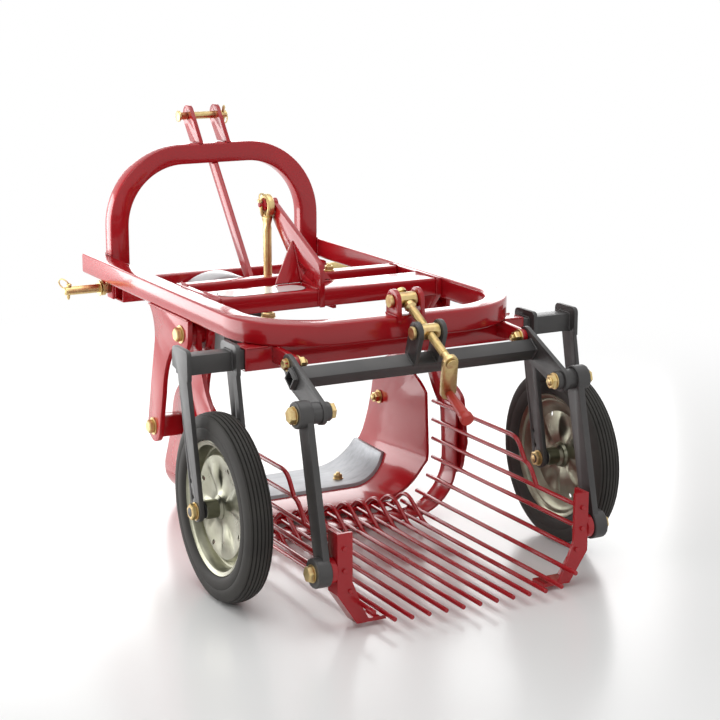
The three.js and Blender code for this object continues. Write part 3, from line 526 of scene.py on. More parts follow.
# A flat plate on the XY plane at the origin, from its outline in millimetres.
def plate(outline, thickness, edge=0.8):
    deselectAll()
    bpy.ops.mesh.primitive_circle_add(vertices=len(outline), radius=0.01, fill_type="NGON")
    piece = bpy.context.object
    for vertex, (x, y) in zip(piece.data.vertices, outline):
        vertex.co = (x / 1000, y / 1000, 0)
    bpy.ops.object.mode_set(mode="EDIT")
    bpy.ops.mesh.select_all(action="SELECT")
    bpy.ops.mesh.extrude_region_move(TRANSFORM_OT_translate={"value": (0, 0, thickness / 1000)})
    bpy.ops.object.mode_set(mode="OBJECT")
    faceOutward(piece)
    if edge:
        roundEdges(piece, edge)
    smooth(piece)
    return piece


# Puts a plate whose outline is y, z upright across X, from x on.
def acrossX(piece, x):
    piece.matrix_world = Matrix.Translation(mm(x, 0, 0)) @ Matrix(
        ((0, 0, 1, 0), (1, 0, 0, 0), (0, 1, 0, 0), (0, 0, 0, 1)),
    )
    settle(piece)
    return piece


# Puts a plate whose outline is x, z upright across Y, from y on towards the rear.
def acrossY(piece, y):
    piece.matrix_world = Matrix.Translation(mm(0, y, 0)) @ Matrix.Rotation(math.radians(90), 4, "X")
    settle(piece)
    return piece


def arc(centreX, centreY, radius, start, end, steps=8):
    turns = [math.radians(start + (end - start) * i / steps) for i in range(steps + 1)]
    return [(centreX + radius * math.cos(t), centreY + radius * math.sin(t)) for t in turns]


# A route with its corners rounded, for bent rod.
def withBends(route, bend, steps=6):
    points = [Vector(p) for p in route]
    smoothed = [points[0]]
    for before, corner, after in zip(points, points[1:], points[2:]):
        reach = min(bend, 0.45 * (corner - before).length, 0.45 * (after - corner).length)
        a = corner + (before - corner).normalized() * reach
        b = corner + (after - corner).normalized() * reach
        for i in range(steps + 1):
            t = i / steps
            smoothed.append(a * (1 - t) ** 2 + corner * 2 * t * (1 - t) + b * t * t)
    return smoothed + [points[-1]]


# Round bar along a route of x, y, z points, with its ends cut square and broken.
def bentRod(route, radius, bend=20, sides=4):
    points = withBends(route, bend)
    curve = bpy.data.curves.new("route", "CURVE")
    curve.dimensions = "3D"
    curve.bevel_depth = radius / 1000
    curve.bevel_resolution = sides
    curve.use_fill_caps = True
    line = curve.splines.new("POLY")
    line.points.add(len(points) - 1)
    for point, place in zip(line.points, points):
        point.co = (*mm(*place), 1)
    rod = bpy.data.objects.new("rod", curve)
    bpy.context.scene.collection.objects.link(rod)
    pick(rod)
    bpy.ops.object.convert(target="MESH")
    rod = bpy.context.object
    faceOutward(rod)
    roundEdges(rod, 0.22 * radius, 2, 60)
    smooth(rod, 40)
    return rod


def cutOut(piece, cutter):
    hole = piece.modifiers.new("hole", "BOOLEAN")
    hole.object = cutter
    hole.operation = "DIFFERENCE"
    hole.solver = "EXACT"
    applyModifiers(piece)
    bpy.data.objects.remove(cutter)
    return piece


patterns = {}


def fromPattern(name, place, along, roll=0):
    return stand(copyOf(patterns[name]), place, along, roll)


def clearPatterns():
    for pattern in patterns.values():
        bpy.data.objects.remove(pattern)


def hexagon(acrossFlats, height, bottom=0):
    radius = acrossFlats / math.sqrt(3)
    top = bottom + height
    profile = [(0, bottom), (0.94 * radius, bottom), (radius, bottom + 0.1 * height)]
    profile += [(radius, top - 0.22 * height), (0.86 * radius, top), (0, top)]
    return turned(profile, 6, 20)


def disc(radius, height, bottom=0, edge=0.6, hole=0):
    top = bottom + height
    rim = [(radius - edge, bottom), (radius, bottom + edge), (radius, top - edge), (radius - edge, top)]
    if hole:
        return turned([(hole, bottom), *rim, (hole, top), (hole, bottom)])
    return turned([(0, bottom), *rim, (0, top)])


def threadedEnd(radius, height, bottom, pitch=1.75):
    depth = 0.6 * pitch
    profile = [(0, bottom), (radius - depth, bottom)]
    turns = int((height - 2) / pitch)
    for i in range(turns):
        low = bottom + i * pitch
        profile += [(radius - depth, low), (radius, low + 0.35 * pitch), (radius, low + 0.65 * pitch)]
    profile += [(radius - depth, bottom + turns * pitch), (radius - depth, bottom + height - 1)]
    profile += [(radius - depth - 1, bottom + height), (0, bottom + height)]
    return turned(profile, 20, 50)


# Each fastener stands on the face it is tightened on, at the origin, pointing up Z.
fasteners = {
    "m8_head": {"flats": 13, "head": 5.5, "washer": (9, 1.6)},
    "m12_head": {"flats": 19, "head": 7.5, "washer": (13, 2.4)},
    "m16_head": {"flats": 24, "head": 10, "washer": (17, 3)},
    "m20_head": {"flats": 30, "head": 10.6, "washer": (19, 2.6)},
    "m12_nut": {"flats": 19, "head": 10, "washer": (13, 2.4), "thread": (6, 5)},
    "m16_nut": {"flats": 24, "head": 13, "washer": (17, 3), "thread": (8, 6)},
    "pivot_head": {"flats": 20, "head": 7.5, "washer": (14, 2.5)},
    "share_head": {"flats": 28, "head": 12, "washer": (21, 3)},
    "m20_nut": {"flats": 30, "head": 9.6, "washer": (18, 2), "thread": (10.2, 2.6)},
}


def makeFasteners():
    for name, size in fasteners.items():
        washerRadius, washerHeight = size["washer"]
        parts = [disc(washerRadius, washerHeight, 0, 0.4), hexagon(size["flats"], size["head"], washerHeight)]
        top = washerHeight + size["head"]
        if "thread" in size:
            radius, reach = size["thread"]
            parts.append(threadedEnd(radius, reach, top))
        patterns[name] = joinAll(parts)


lynchPin = {"radius": 4, "length": 34, "ringRadius": 15, "wire": 1.9}


def makeLynchPin():
    radius, length = lynchPin["radius"], lynchPin["length"]
    body = turned(
        [
            (0, -length), (radius - 2, -length), (radius, -length + 4), (radius, 0), (radius + 2.5, 1),
            (radius + 2.5, 7), (radius, 9), (0, 9),
        ],
        16,
    )
    bpy.ops.mesh.primitive_torus_add(
        major_radius=lynchPin["ringRadius"] / 1000, minor_radius=lynchPin["wire"] / 1000,
        major_segments=36, minor_segments=10, location=(
            lynchPin["ringRadius"] / 1000, 0, 0.004,
        ), rotation=(math.radians(70), 0, 0),
    )
    ring = bpy.context.object
    settle(ring)
    smooth(ring, 60)
    patterns["lynch_pin"] = joinAll([body, ring])


makeFasteners()
makeLynchPin()
print("fasteners made")


tyre = {
    "radius": 200, "bead": 143.3, "half": 30, "grooves": (-20, -12, -4, 4, 12, 20), "groove": (1.1, 3.6),
    "crown": 5.5,
}


def treadRadius(width):
    return tyre["radius"] - tyre["crown"] * (abs(width) / 24) ** 2.4


def makeTyre():
    half, bead = tyre["half"], tyre["bead"]
    lip, depth = tyre["groove"]
    outer = [
        (bead, -half + 8), (bead + 4, -half + 3), (bead + 10, -half + 0.5), (bead + 24, -half),
        (bead + 26, -half + 1),
    ]
    outer += [(bead + 28, -half), (tyre["radius"] - 20, -half + 0.6), (tyre["radius"] - 12, -half + 2.4)]
    tread = [(treadRadius(-24.5), -24.5)]
    for groove in tyre["grooves"]:
        deep = treadRadius(groove) - depth
        tread += [
            (treadRadius(groove - lip - 0.8), groove - lip - 0.8),
            (treadRadius(groove - lip) - 0.6, groove - lip),
        ]
        tread += [(deep, groove - lip + 0.4), (deep, groove + lip - 0.4)]
        tread += [
            (treadRadius(groove + lip) - 0.6, groove + lip),
            (treadRadius(groove + lip + 0.8), groove + lip + 0.8),
        ]
    tread.append((treadRadius(24.5), 24.5))
    profile = outer + tread + [(r, -w) for r, w in reversed(outer)]
    return turned(profile + profile[:1], 128, 35)


rim = {
    "lip": 143, "half": 22, "well": 129, "face": 113, "hub": 24, "hubHalf": 42, "bore": 11,
    "lobes": 4, "lobeHeight": 9, "holeRadius": 5.5, "holeAt": 96,
}


def makeRim():
    lip, half, well, face, hub = rim["lip"], rim["half"], rim["well"], rim["face"], rim["hub"]
    front = [
        (hub, 9), (hub + 5, 4.5), (40, 1.5), (52, 0), (64, 0), (78, 1), (90, 3), (100, 5), (face - 4, 5),
        (face, 2),
    ]
    front += [
        (face + 3, -4), (well - 5, -8), (well - 2, -7), (well, -3), (well + 1, half - 9),
        (well + 4, half - 4),
    ]
    front += [(lip - 4, half - 2), (lip - 1.5, half), (lip, half - 1)]
    back = [
        (lip, half - 3), (lip - 4, half - 5), (well + 5, half - 9), (well + 3.2, half - 14),
        (well + 3.2, -half + 14),
    ]
    back += [
        (well + 5, -half + 9), (lip - 4, -half + 5), (lip, -half + 3), (lip, -half + 1), (lip - 1.5, -half),
    ]
    back += [
        (lip - 4, -half + 2), (well + 4, -half + 4), (well + 1, -half + 9), (well - 2, -13),
        (well - 6, -11.5),
    ]
    back += [
        (face, -7), (face - 5, -3), (100, 1.8), (90, 0), (78, -2), (64, -3), (52, -3), (40, -1.5),
        (hub + 5, 1), (hub, -9),
    ]
    profile = front + back
    piece = turned(profile + profile[:1], 112, 35)
    for vertex in piece.data.vertices:
        radius = math.hypot(vertex.co.x, vertex.co.y) * 1000
        if 30 < radius < face - 8:
            turn = math.atan2(vertex.co.y, vertex.co.x)
            swell = math.sin(math.pi * (radius - 30) / (face - 38)) ** 2
            lobe = max(0, math.cos(rim["lobes"] * turn)) ** 0.7
            vertex.co.z += swell * lobe * rim["lobeHeight"] / 1000
    holes = []
    for i in range(rim["lobes"]):
        turn = math.radians(45 + 360 / rim["lobes"] * i)
        hole = disc(rim["holeRadius"], 40, -20, 0.2)
        hole.location = (rim["holeAt"] * math.cos(turn) / 1000, rim["holeAt"] * math.sin(turn) / 1000, 0)
        settle(hole)
        holes.append(hole)
    cutOut(piece, joinAll(holes))
    end = rim["hubHalf"]
    bore = rim["bore"]
    tube = [
        (bore, -end), (hub - 5, -end), (hub - 4, -end + 1), (hub - 4, -14), (hub + 2, -9), (hub + 2, 9),
        (hub - 4, 14),
    ]
    tube += [(hub - 4, end - 1), (hub - 5, end), (bore, end), (bore, -end)]
    piece = joinAll([piece, turned(tube, 40)])
    smooth(piece, 38)
    return piece


def makeBearings():
    end = rim["hubHalf"]
    rings = []
    for side in (-1, 1):
        low = side * end - (0 if side > 0 else 3.5)
        rings.append(disc(18, 3.5, low, 0.8, 11))
    return joinAll(rings)


def wheels():
    tyrePattern, rimPattern, bearingPattern = makeTyre(), makeRim(), makeBearings()
    for side, name in ((-1, "left"), (1, "right")):
        low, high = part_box("tyre_" + name)
        centre = ((low[0] + high[0]) * 500, 0, (low[2] + high[2]) * 500)
        for pattern, stem, slot, material in (
            (tyrePattern, "tyre", "tyre", None),
            (rimPattern, "wheel_rim", "bright_zinc", None),
            (bearingPattern, "wheel_bearing", "tyre", bush),
        ):
            piece = stand(copyOf(pattern), centre, (side, 0, 0), 0.35)
            node = f"{stem}_{name}"
            finish(piece, node + "_turned", "wheel_" + name, slot, material, [node] if node in cad else [])
    for pattern in (tyrePattern, rimPattern, bearingPattern):
        bpy.data.objects.remove(pattern)


wheels()
print("wheels made")

# The turned pins of the hitch, each with its lynch pin.
hitchPins = {
    "topRadius": 9.5, "topHalf": 69, "headRadius": 15, "lowerRadius": 11, "lowerLength": 98, "collar": 19,
    "rootFlat": 26,
}


def topLinkPin():
    low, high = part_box("top_link_pin")
    y = (low[1] + high[1]) * 500 - axleY * 1000
    z = (low[2] + high[2]) * 500
    radius, half, head = hitchPins["topRadius"], hitchPins["topHalf"], hitchPins["headRadius"]
    profile = [
        (0, -half), (head - 4, -half), (head - 1, -half + 1.2), (head - 1, -half + 6),
        (head - 4, -half + 8),
    ]
    profile += [(radius, -half + 11), (radius, half - 3), (radius - 3, half), (0, half)]
    pin = stand(turned(profile, 40), (0, y, z), (1, 0, 0))
    keeper = fromPattern("lynch_pin", (half - 12, y, z - radius + 1), (0, 0.35, -1), 2.4)
    finish(joinAll([pin, keeper]), "top_link_pin_turned", "frame", "yellow_zinc", None, ["top_link_pin"])


def lowerLinkPins():
    radius, length, collar = hitchPins["lowerRadius"], hitchPins["lowerLength"], hitchPins["collar"]
    flat = hitchPins["rootFlat"] / 2
    for side, name in ((-1, "left"), (1, "right")):
        node = "lower_link_pin_" + name
        low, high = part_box(node)
        y = (low[1] + high[1]) * 500 - axleY * 1000
        z = (low[2] + high[2]) * 500
        tip = max(abs(low[0]), abs(high[0])) * 1000
        root = min(abs(low[0]), abs(high[0])) * 1000
        shoulder = tip - length
        profile = [
            (0, 0), (radius - 4, 0), (radius - 1, 3), (radius, 8), (radius, length - 2),
            (radius + 2, length),
        ]
        profile += [
            (collar - 1, length), (collar, length + 1), (collar, length + 8), (collar - 1, length + 9),
            (0, length + 9),
        ]
        pin = stand(turned(profile, 40), (side * tip, y, z), (-side, 0, 0))
        block = plate([(-flat, -flat), (flat, -flat), (flat, flat), (-flat, flat)], shoulder - root - 4, 2.5)
        stand(block, (side * root, y, z), (side, 0, 0))
        washer = stand(disc(radius + 9, 3, 0, 0.5, radius + 0.3), (side * (shoulder + 4), y, z), (side, 0, 0))
        keeper = fromPattern(
            "lynch_pin", (side * (tip - 13), y, z + radius - 1), (0, -0.2, 1), 2.2 if side < 0 else 0.6,
        )
        finish(joinAll([pin, block, washer, keeper]), node + "_turned", "frame", "yellow_zinc", None, [node])


topLinkPin()
lowerLinkPins()
print("hitch pins made")

# The plate arm on the rear crossbar, and the eye rod that hangs from it.
arm = {
    "x": -29, "half": 6, "tip": (563, 735), "pin": 15, "pinReach": 29,
    "outline": [
        (308, 530), (315.7, 530), (315.7, 570.3), (414, 570.3), (482, 634), (569, 713), (578, 718),
        (582, 727), (579, 737),
        (570, 744), (555, 743), (341, 642), (322, 632), (314, 622), (308, 600),
    ],
    "gusset": {
        "foot": 404, "reach": 71, "lean": 42, "height": 90, "wall": 10,
    }, "slot": (392, 601), "slotSize": (8, 14),
}


def hangerArm():
    x, half = arm["x"], arm["half"]
    body = acrossX(plate(arm["outline"], 2 * half, 1.2), x - half)
    width, height = arm["slotSize"]
    hole = disc(width, 60, -30, 0.2)
    hole.scale = (height / width, 1, 1)
    stand(hole, (x, *arm["slot"]), (1, 0, 0))
    cutOut(body, hole)
    gusset = arm["gusset"]
    slope = math.atan2(gusset["height"], gusset["lean"])
    length = math.hypot(gusset["height"], gusset["lean"])
    parts = [body]
    for side in (-1, 1):
        outline = [
            (side * half, 0), (side * gusset["reach"], 0), (side * (half + 2), length),
            (side * half, length),
        ]
        web = plate(outline, gusset["wall"])
        web.matrix_world = Matrix.Translation(
            mm(x, gusset["foot"] + gusset["wall"], 570.3),
        ) @ Matrix.Rotation(slope, 4, "X")
        settle(web)
        parts.append(web)
    radius, reach = arm["pin"], arm["pinReach"]
    stub = [
        (0, -half), (radius, -half), (radius, reach - 3), (radius - 3, reach), (6, reach), (6, reach + 8),
        (5, reach + 9), (0, reach + 9),
    ]
    parts.append(stand(turned(stub, 40), (x, *arm["tip"]), (-1, 0, 0)))
    finish(joinAll(parts), "hanger_arm_plate", "frame", "red_paint", None, ["hanger_arm"])


eyeRod = {"x": -46, "y": 563, "eyeZ": 731.3, "eye": 29, "bore": 19, "half": 9, "rod": 10, "foot": 448.3}


def hangerRod():
    half, bore, eye, rod = eyeRod["half"], eyeRod["bore"], eyeRod["eye"], eyeRod["rod"]
    place = (eyeRod["x"], eyeRod["y"], eyeRod["eyeZ"])
    profile = [(bore, -half + 2), (bore + 1.5, -half), (eye - 4, -half), (eye - 0.8, -half + 3), (eye, 0)]
    profile += [
        (eye - 0.8, half - 3), (eye - 4, half), (bore + 1.5, half), (bore, half - 2), (bore, -half + 2),
    ]
    ring = stand(turned(profile, 48), place, (1, 0, 0))
    length = eyeRod["eyeZ"] - eyeRod["foot"]
    profile = [
        (0, 0), (rod - 1.5, 0), (rod, 1.5), (rod, length - 66), (rod + 0.6, length - 54),
        (rod + 3, length - 43),
    ]
    profile += [(rod + 7, length - 33), (rod + 8, length - 26), (rod + 2, length - 21), (0, length - 21)]
    stem = turned(profile, 32)
    for vertex in stem.data.vertices:
        if vertex.co.z * 1000 > length - 48:
            vertex.co.y *= 0.62
    stand(stem, (*place[:2], eyeRod["foot"]), (0, 0, 1), math.radians(90))
    nuts = [fromPattern("m20_nut", (*place[:2], eyeRod["foot"] + 15 * i), (0, 0, 1), 0.3 * i) for i in (0, 1)]
    keeper = fromPattern(
        "lynch_pin", (arm["x"] - arm["pinReach"] - 5, place[1], arm["tip"][1] + 6), (-0.1, 0.1, 1), 2.9,
    )
    finish(
        joinAll([ring, stem, *nuts, keeper]), "hanger_rod_forged", "frame", "yellow_zinc", None,
        ["hanger_rod"],
    )


hangerArm()
hangerRod()
print("hanger arm and rod made")

# The screw spindle with its trunnions, crank arm and grip.
spindle = {
    "x": 8, "upper": (-8, 600), "lower": (-105, 549), "radius": 9, "reach": 108, "head": 14.5, "sleeve": 16.8,
    "sleeveHalf": 22, "pinHalf": 38, "pin": 8.9, "crank": 86, "crankTurn": -13, "grip": 88,
    "collar": (13, 18, 28),
}
upper = Vector((0, *spindle["upper"]))
lower = Vector((0, *spindle["lower"]))
spindleWay = (upper - lower).normalized()


def trunnion(name, place, bore):
    half, pinHalf, head, pin = spindle["sleeveHalf"], spindle["pinHalf"], spindle["head"], spindle["pin"]
    around = spindle["sleeve"]
    profile = [
        (0, -half), (around - 1.5, -half), (around, -half + 1.5), (around, half - 1.5),
        (around - 1.5, half), (0, half),
    ]
    sleeve = turned(profile, 40)
    stand(sleeve, place, (1, 0, 0))
    hole = stand(disc(bore, 80, -40, 0.2), place, spindleWay)
    cutOut(sleeve, hole)
    pins = []
    for side, radius, wall in ((-1, head, 6), (1, head + 1, 3)):
        profile = [(0, half - 0.6), (pin, half - 0.6), (pin, pinHalf - 3.6), (radius - 1, pinHalf - 3.6)]
        profile += [(radius, pinHalf - 2.6), (radius, pinHalf - 4 + wall), (radius - 2, pinHalf - 2.4 + wall)]
        profile.append((0, pinHalf - 2 + wall))
        pins.append(stand(turned(profile, 40), place, (side, 0, 0)))
    finish(joinAll([sleeve, *pins]), name + "_turned", name, "yellow_zinc", None, [name])


def screwSpindle():
    between = (upper - lower).length
    end = -between - spindle["reach"]
    radius = spindle["radius"]
    collar, near, far = spindle["collar"]
    profile = [(0, end - 1), (radius - 1, end - 1), (radius, end), (radius, end + 30)]
    pitch = 4
    low = end + 34
    while low < -far - 6:
        profile += [(radius - 1.4, low), (radius, low + 1), (radius, low + 2.2), (radius - 1.4, low + 3.2)]
        low += pitch
    profile += [
        (radius, -far - 2), (collar - 1, -far), (collar, -far + 1), (collar, -near - 1),
        (collar - 1, -near), (radius, -near),
    ]
    profile += [
        (radius, near), (collar - 1, near), (collar, near + 1), (collar, far - 1), (collar - 1, far),
        (radius, far),
    ]
    profile += [(radius, far + 2.5), (radius - 1.5, far + 4), (0, far + 4)]
    body = turned(profile, 28, 35)
    stand(body, (spindle["x"], *spindle["upper"]), spindleWay)
    finish(body, "spindle_screw_turned", "crank", "yellow_zinc", None, ["spindle_screw"])
    return end


def crankGrip(end):
    down = Matrix.Rotation(
        math.radians(spindle["crankTurn"]), 3, spindleWay,
    ) @ Vector((0, spindleWay.z, -spindleWay.y))
    root = Vector((spindle["x"], *spindle["upper"])) + spindleWay * end
    foot = root + down * spindle["crank"]
    grip = spindle["grip"]
    profile = [
        (0, 0), (8.4, 0), (9, 1), (9.4, 8), (10.6, 30), (11.8, 54), (12.4, 68), (13, 71), (14.2, 73),
        (14.6, 76),
    ]
    profile += [(14.6, grip - 4), (13.6, grip - 1), (11, grip), (0, grip)]
    handle = stand(turned(profile, 40, 35), foot + spindleWay * 1.5, -spindleWay)
    finish(handle, "crank_handle_moulded", "crank", "orange_plastic", None, ["crank_handle"])
    caps = [
        fromPattern("m12_nut", foot + spindleWay * 12, spindleWay),
        stand(disc(13, 5, 0, 1.2), root + spindleWay * 11, spindleWay),
        stand(disc(11.5, 2.2, 0, 0.8), root - spindleWay * 0.4, -spindleWay),
    ]
    finish(joinAll(caps), "crank_fastenings", "crank", "yellow_zinc")


trunnion("upper_trunnion", (spindle["x"], *spindle["upper"]), 10)
trunnion("lower_trunnion", (spindle["x"], *spindle["lower"]), 10.5)
crankGrip(screwSpindle())
print("spindle and crank made")

# The sieve: round rods welded to a band, on uprights of folded sheet.
sieve = {
    "half": 285.4, "corner": 110, "rodZ": 25, "rod": 5, "floorPitch": 40, "sidePitch": 46.5, "floorRods": 5,
    "sideRods": 6,
    "shortRods": 2, "front": 345, "rear": -340, "sideRear": -290, "bandY": 245, "bandWidth": 65,
    "bandWall": 6,
}


def sievePoint(distance):
    side = math.copysign(1, distance)
    flat = sieve["half"] - sieve["corner"]
    along = abs(distance) - flat
    quarter = math.pi / 2 * sieve["corner"]
    if along <= 0:
        return distance, sieve["rodZ"]
    if along < quarter:
        turn = along / sieve["corner"]
        return side * (
            flat + sieve["corner"] * math.sin(turn)
        ), sieve["rodZ"] + sieve["corner"] * (1 - math.cos(turn))
    return side * sieve["half"], sieve["rodZ"] + sieve["corner"] + along - quarter


def trough(half, bottom, corner, top, steps=14):
    flat, centre = half - corner, bottom + corner
    return [
        (-half, top), *arc(-flat, centre, corner, 180, 270, steps),
        *arc(flat, centre, corner, 270, 360, steps), (half, top),
    ]


def sieveGrid():
    front, rear, rod = sieve["front"], sieve["rear"], sieve["rod"]
    rods = []
    for i in range(-sieve["floorRods"], sieve["floorRods"] + 1):
        x, z = sievePoint(i * sieve["floorPitch"])
        rods.append(bentRod([(x, front, z), (x, rear, z)], rod))
    for i in range(1, sieve["sideRods"] + 1):
        for side in (-1, 1):
            x, z = sievePoint(side * (sieve["floorRods"] * sieve["floorPitch"] + i * sieve["sidePitch"]))
            short = i - (sieve["sideRods"] - sieve["shortRods"])
            bend = short * 50 - 128
            if short > 0:
                rods.append(bentRod([(x, front, z), (x, bend, z), (x, bend - 32, z - 46)], rod, 30))
            else:
                rods.append(bentRod([(x, front, z), (x, rear + 10 if i == 1 else sieve["sideRear"], z)], rod))
    outer = rod - 1 + sieve["bandWall"]
    top = sievePoint(
        sieve["floorRods"] * sieve["floorPitch"] + sieve["sideRods"] * sieve["sidePitch"],
    )[1] + 12
    outside = trough(sieve["half"] + outer, sieve["rodZ"] - outer, sieve["corner"] + outer, top)
    inside = trough(sieve["half"] + rod - 1, sieve["rodZ"] - rod + 1, sieve["corner"] + rod - 1, top)
    band = acrossY(plate(outside + inside[::-1], sieve["bandWidth"], 1), sieve["bandY"] + sieve["bandWidth"])
    finish(joinAll([band, *rods]), "sieve_grid_rods", "sieve", "red_paint", None, ["sieve_grid"])


comb = {"perSide": 5, "stripRear": 354, "stripTop": 23, "reach": 192, "rod": 5}


def shareFingers():
    pitch, reach, top, rear = sieve["floorPitch"], comb["reach"], comb["stripTop"], comb["stripRear"]
    strip = plate([(-reach, rear), (reach, rear), (reach, rear + 38), (-reach, rear + 38)], 8)
    strip.location = mm(0, 0, top - 8)
    parts = [strip]
    settle(strip)
    for i in range(-comb["perSide"], comb["perSide"]):
        x = (i + 0.5) * pitch
        route = [
            (x, rear + 6, top - 4), (x, 306, 60), (x, 275, 62), (x, 205, 18), (x, 185, 13),
            (x, -5 + 2 * abs(i + 0.5), 12),
        ]
        parts.append(bentRod(route, comb["rod"], 26))
    finish(joinAll(parts), "share_fingers_rods", "frame", "red_paint", None, ["share_fingers"])


upright = {
    "face": 300.4, "wall": 8, "top": 205, "rear": -285, "depth": 42, "flange": 34, "foot": 190,
    "bottom": 9.8, "knee": 76, "bossY": -265, "bossZ": 125,
}


def unite(piece, other):
    union = piece.modifiers.new("union", "BOOLEAN")
    union.object = other
    union.operation = "UNION"
    union.solver = "EXACT"
    applyModifiers(piece)
    bpy.data.objects.remove(other)
    return piece


def sieveUprights():
    face, wall, top, flange = upright["face"], upright["wall"], upright["top"], upright["flange"]
    foot, bottom, knee = upright["foot"], upright["bottom"], upright["knee"]
    rear, depth = upright["rear"], upright["depth"]
    outside = [(face, top), (face, knee), (face - 44, bottom), (foot, bottom)]
    inside = [(foot, bottom + wall), (face - 47, bottom + wall), (face - wall, knee + 3), (face - wall, top)]
    lip = [
        (foot + 40, bottom + wall), (face - 58, bottom + 30), (face - flange, knee + 24),
        (face - flange, top),
    ]
    for side, name in ((-1, "left"), (1, "right")):
        web = acrossY(plate([(side * x, z) for x, z in outside + inside], depth, 0), rear + depth)
        edge = acrossY(plate([(side * x, z) for x, z in outside + lip], wall, 0), rear + wall)
        folded = unite(web, edge)
        roundEdges(folded, 1.2)
        smooth(folded)
        boss = turned([(0, 0), (24, 0), (26, 2), (26, 13), (22, 14.5), (0, 14.5)], 36)
        stand(boss, (side * (face - 0.4), upright["bossY"], upright["bossZ"]), (side, 0, 0))
        node = "sieve_upright_" + name
        finish(joinAll([folded, boss]), node + "_folded", "sieve", "red_paint", None, [node])
        nut = fromPattern(
            "m12_nut", (side * (face - wall), upright["bossY"], upright["bossZ"]), (-side, 0, 0),
        )
        finish(nut, f"upright_nut_{name}", "sieve", "bright_zinc")


sieveGrid()
shareFingers()
sieveUprights()
print("sieve made")

# The drive: a bell-shaped guard, the splined shaft, the gearbox's cover and the bearing's bolts.
drive = {
    "x": -46, "z": 400, "guard": (805, 885, 125, 5), "bore": 18, "shaft": (537, 925, 1000), "radius": 17,
    "root": 14,
    "splines": 6, "collar": (674, 686, 24), "cover": (690, 44, 5), "coverBolt": 36, "guardBolt": 40,
    "bearing": (545, 24),
}


# Small bolts in a circle round the shaft, tightened on the face at y.
def boltRing(count, radius, y, way, first, roll):
    bolts = []
    for i in range(count):
        turn = math.radians(first + 360 / count * i)
        place = (drive["x"] + radius * math.cos(turn), y, drive["z"] + radius * math.sin(turn))
        bolts.append(fromPattern("m8_head", place, (0, way, 0), roll * i))
    return bolts


def driveGuard():
    rear, front, radius, wall = drive["guard"]
    depth, inner = front - rear, radius - wall
    profile = [
        (drive["bore"], 0), (radius - 9, 0), (radius - 3, 2), (radius, 9), (radius, depth - 1),
        (radius - 1, depth),
    ]
    profile += [
        (inner - 1, depth), (inner - 2.4, depth - 2.5), (inner - 1, depth - 5), (inner, depth - 6),
        (inner, 9), (inner - 6, wall),
    ]
    profile += [(drive["bore"], wall), (drive["bore"], 0)]
    shell = stand(turned(profile, 96), (drive["x"], rear, drive["z"]), (0, 1, 0))
    bolts = boltRing(4, drive["guardBolt"], rear + wall, 1, 45, 0.3)
    finish(shell, "drive_guard_pressed", "frame", "grey_paint", None, ["drive_guard"])
    finish(joinAll(bolts), "drive_guard_bolts", "frame", "yellow_zinc")


def driveShaft():
    start, step, end = drive["shaft"]
    near, far, collar = drive["collar"]
    radius, root = drive["radius"], drive["root"]
    profile = [
        (0, start), (radius - 1.5, start), (radius, start + 1.5), (radius, near), (collar - 1, near),
        (collar, near + 1),
    ]
    profile += [
        (collar, far - 1), (collar - 1, far), (radius, far), (radius, step - 2), (root, step),
        (root, end - 1), (root - 1, end), (0, end),
    ]
    parts = [stand(turned(profile, 40), (drive["x"], 0, drive["z"]), (0, 1, 0))]
    for i in range(drive["splines"]):
        turn = 2 * math.pi / drive["splines"] * i
        key = plate(
            [(root - 1, -3.6), (radius - 0.2, -3.3), (radius - 0.2, 3.3), (root - 1, 3.6)], end - step - 3,
            0.6,
        )
        parts.append(stand(key, (drive["x"], step + 1, drive["z"]), (0, 1, 0), turn))
    finish(joinAll(parts), "drive_shaft_splined", "drive_shaft", "bright_zinc", None, ["drive_shaft"])


def driveFastenings():
    face, radius, wall = drive["cover"]
    shell = [
        (20, 0), (radius, 0), (radius, wall - 1.5), (radius - 1.5, wall), (28, wall), (26, wall + 5),
        (20, wall + 5), (20, 0),
    ]
    cover = stand(turned(shell, 56), (drive["x"], face, drive["z"]), (0, -1, 0))
    finish(cover, "gearbox_cover", "frame", "charcoal_paint")
    bolts = boltRing(6, drive["coverBolt"], face - wall, -1, 0, 0.2)
    back, reach = drive["bearing"]
    for side in (-1, 1):
        bolts.append(fromPattern("m8_head", (drive["x"] + side * reach, back, drive["z"]), (0, -1, 0), 0.3))
    finish(joinAll(bolts), "drive_bolts", "frame", "yellow_zinc")


driveGuard()
driveShaft()
driveFastenings()
print("drive made")

# Bolts and nuts on both sides: the distance from the middle, y, z and the way each points along X.
sideBolts = {
    "frame": [
        ("m20_head", 481.3, 0, 200, 1), ("m20_nut", 360.7, 0, 200, -1), ("share_head", 340, 400, 482, 1),
        ("share_head", 340, 580, 226, 1), ("m16_nut", 266.5, 580, 226, -1), (
            "pivot_head", 293.9, -50, 500, 1,
        ),
        ("m16_nut", 270.7, -50, 500, -1), ("m12_head", 312.4, 285, 146, 1),
    ],
    "rockshaft": [("m20_head", 346.4, -190, 431, 1), ("m20_nut", 270.4, -190, 431, -1)],
}
wearBolt = {"x": 150, "y": 580, "z": 27, "tilt": 3.9}
crossbarNuts = [(62, 524), (98, 524)]


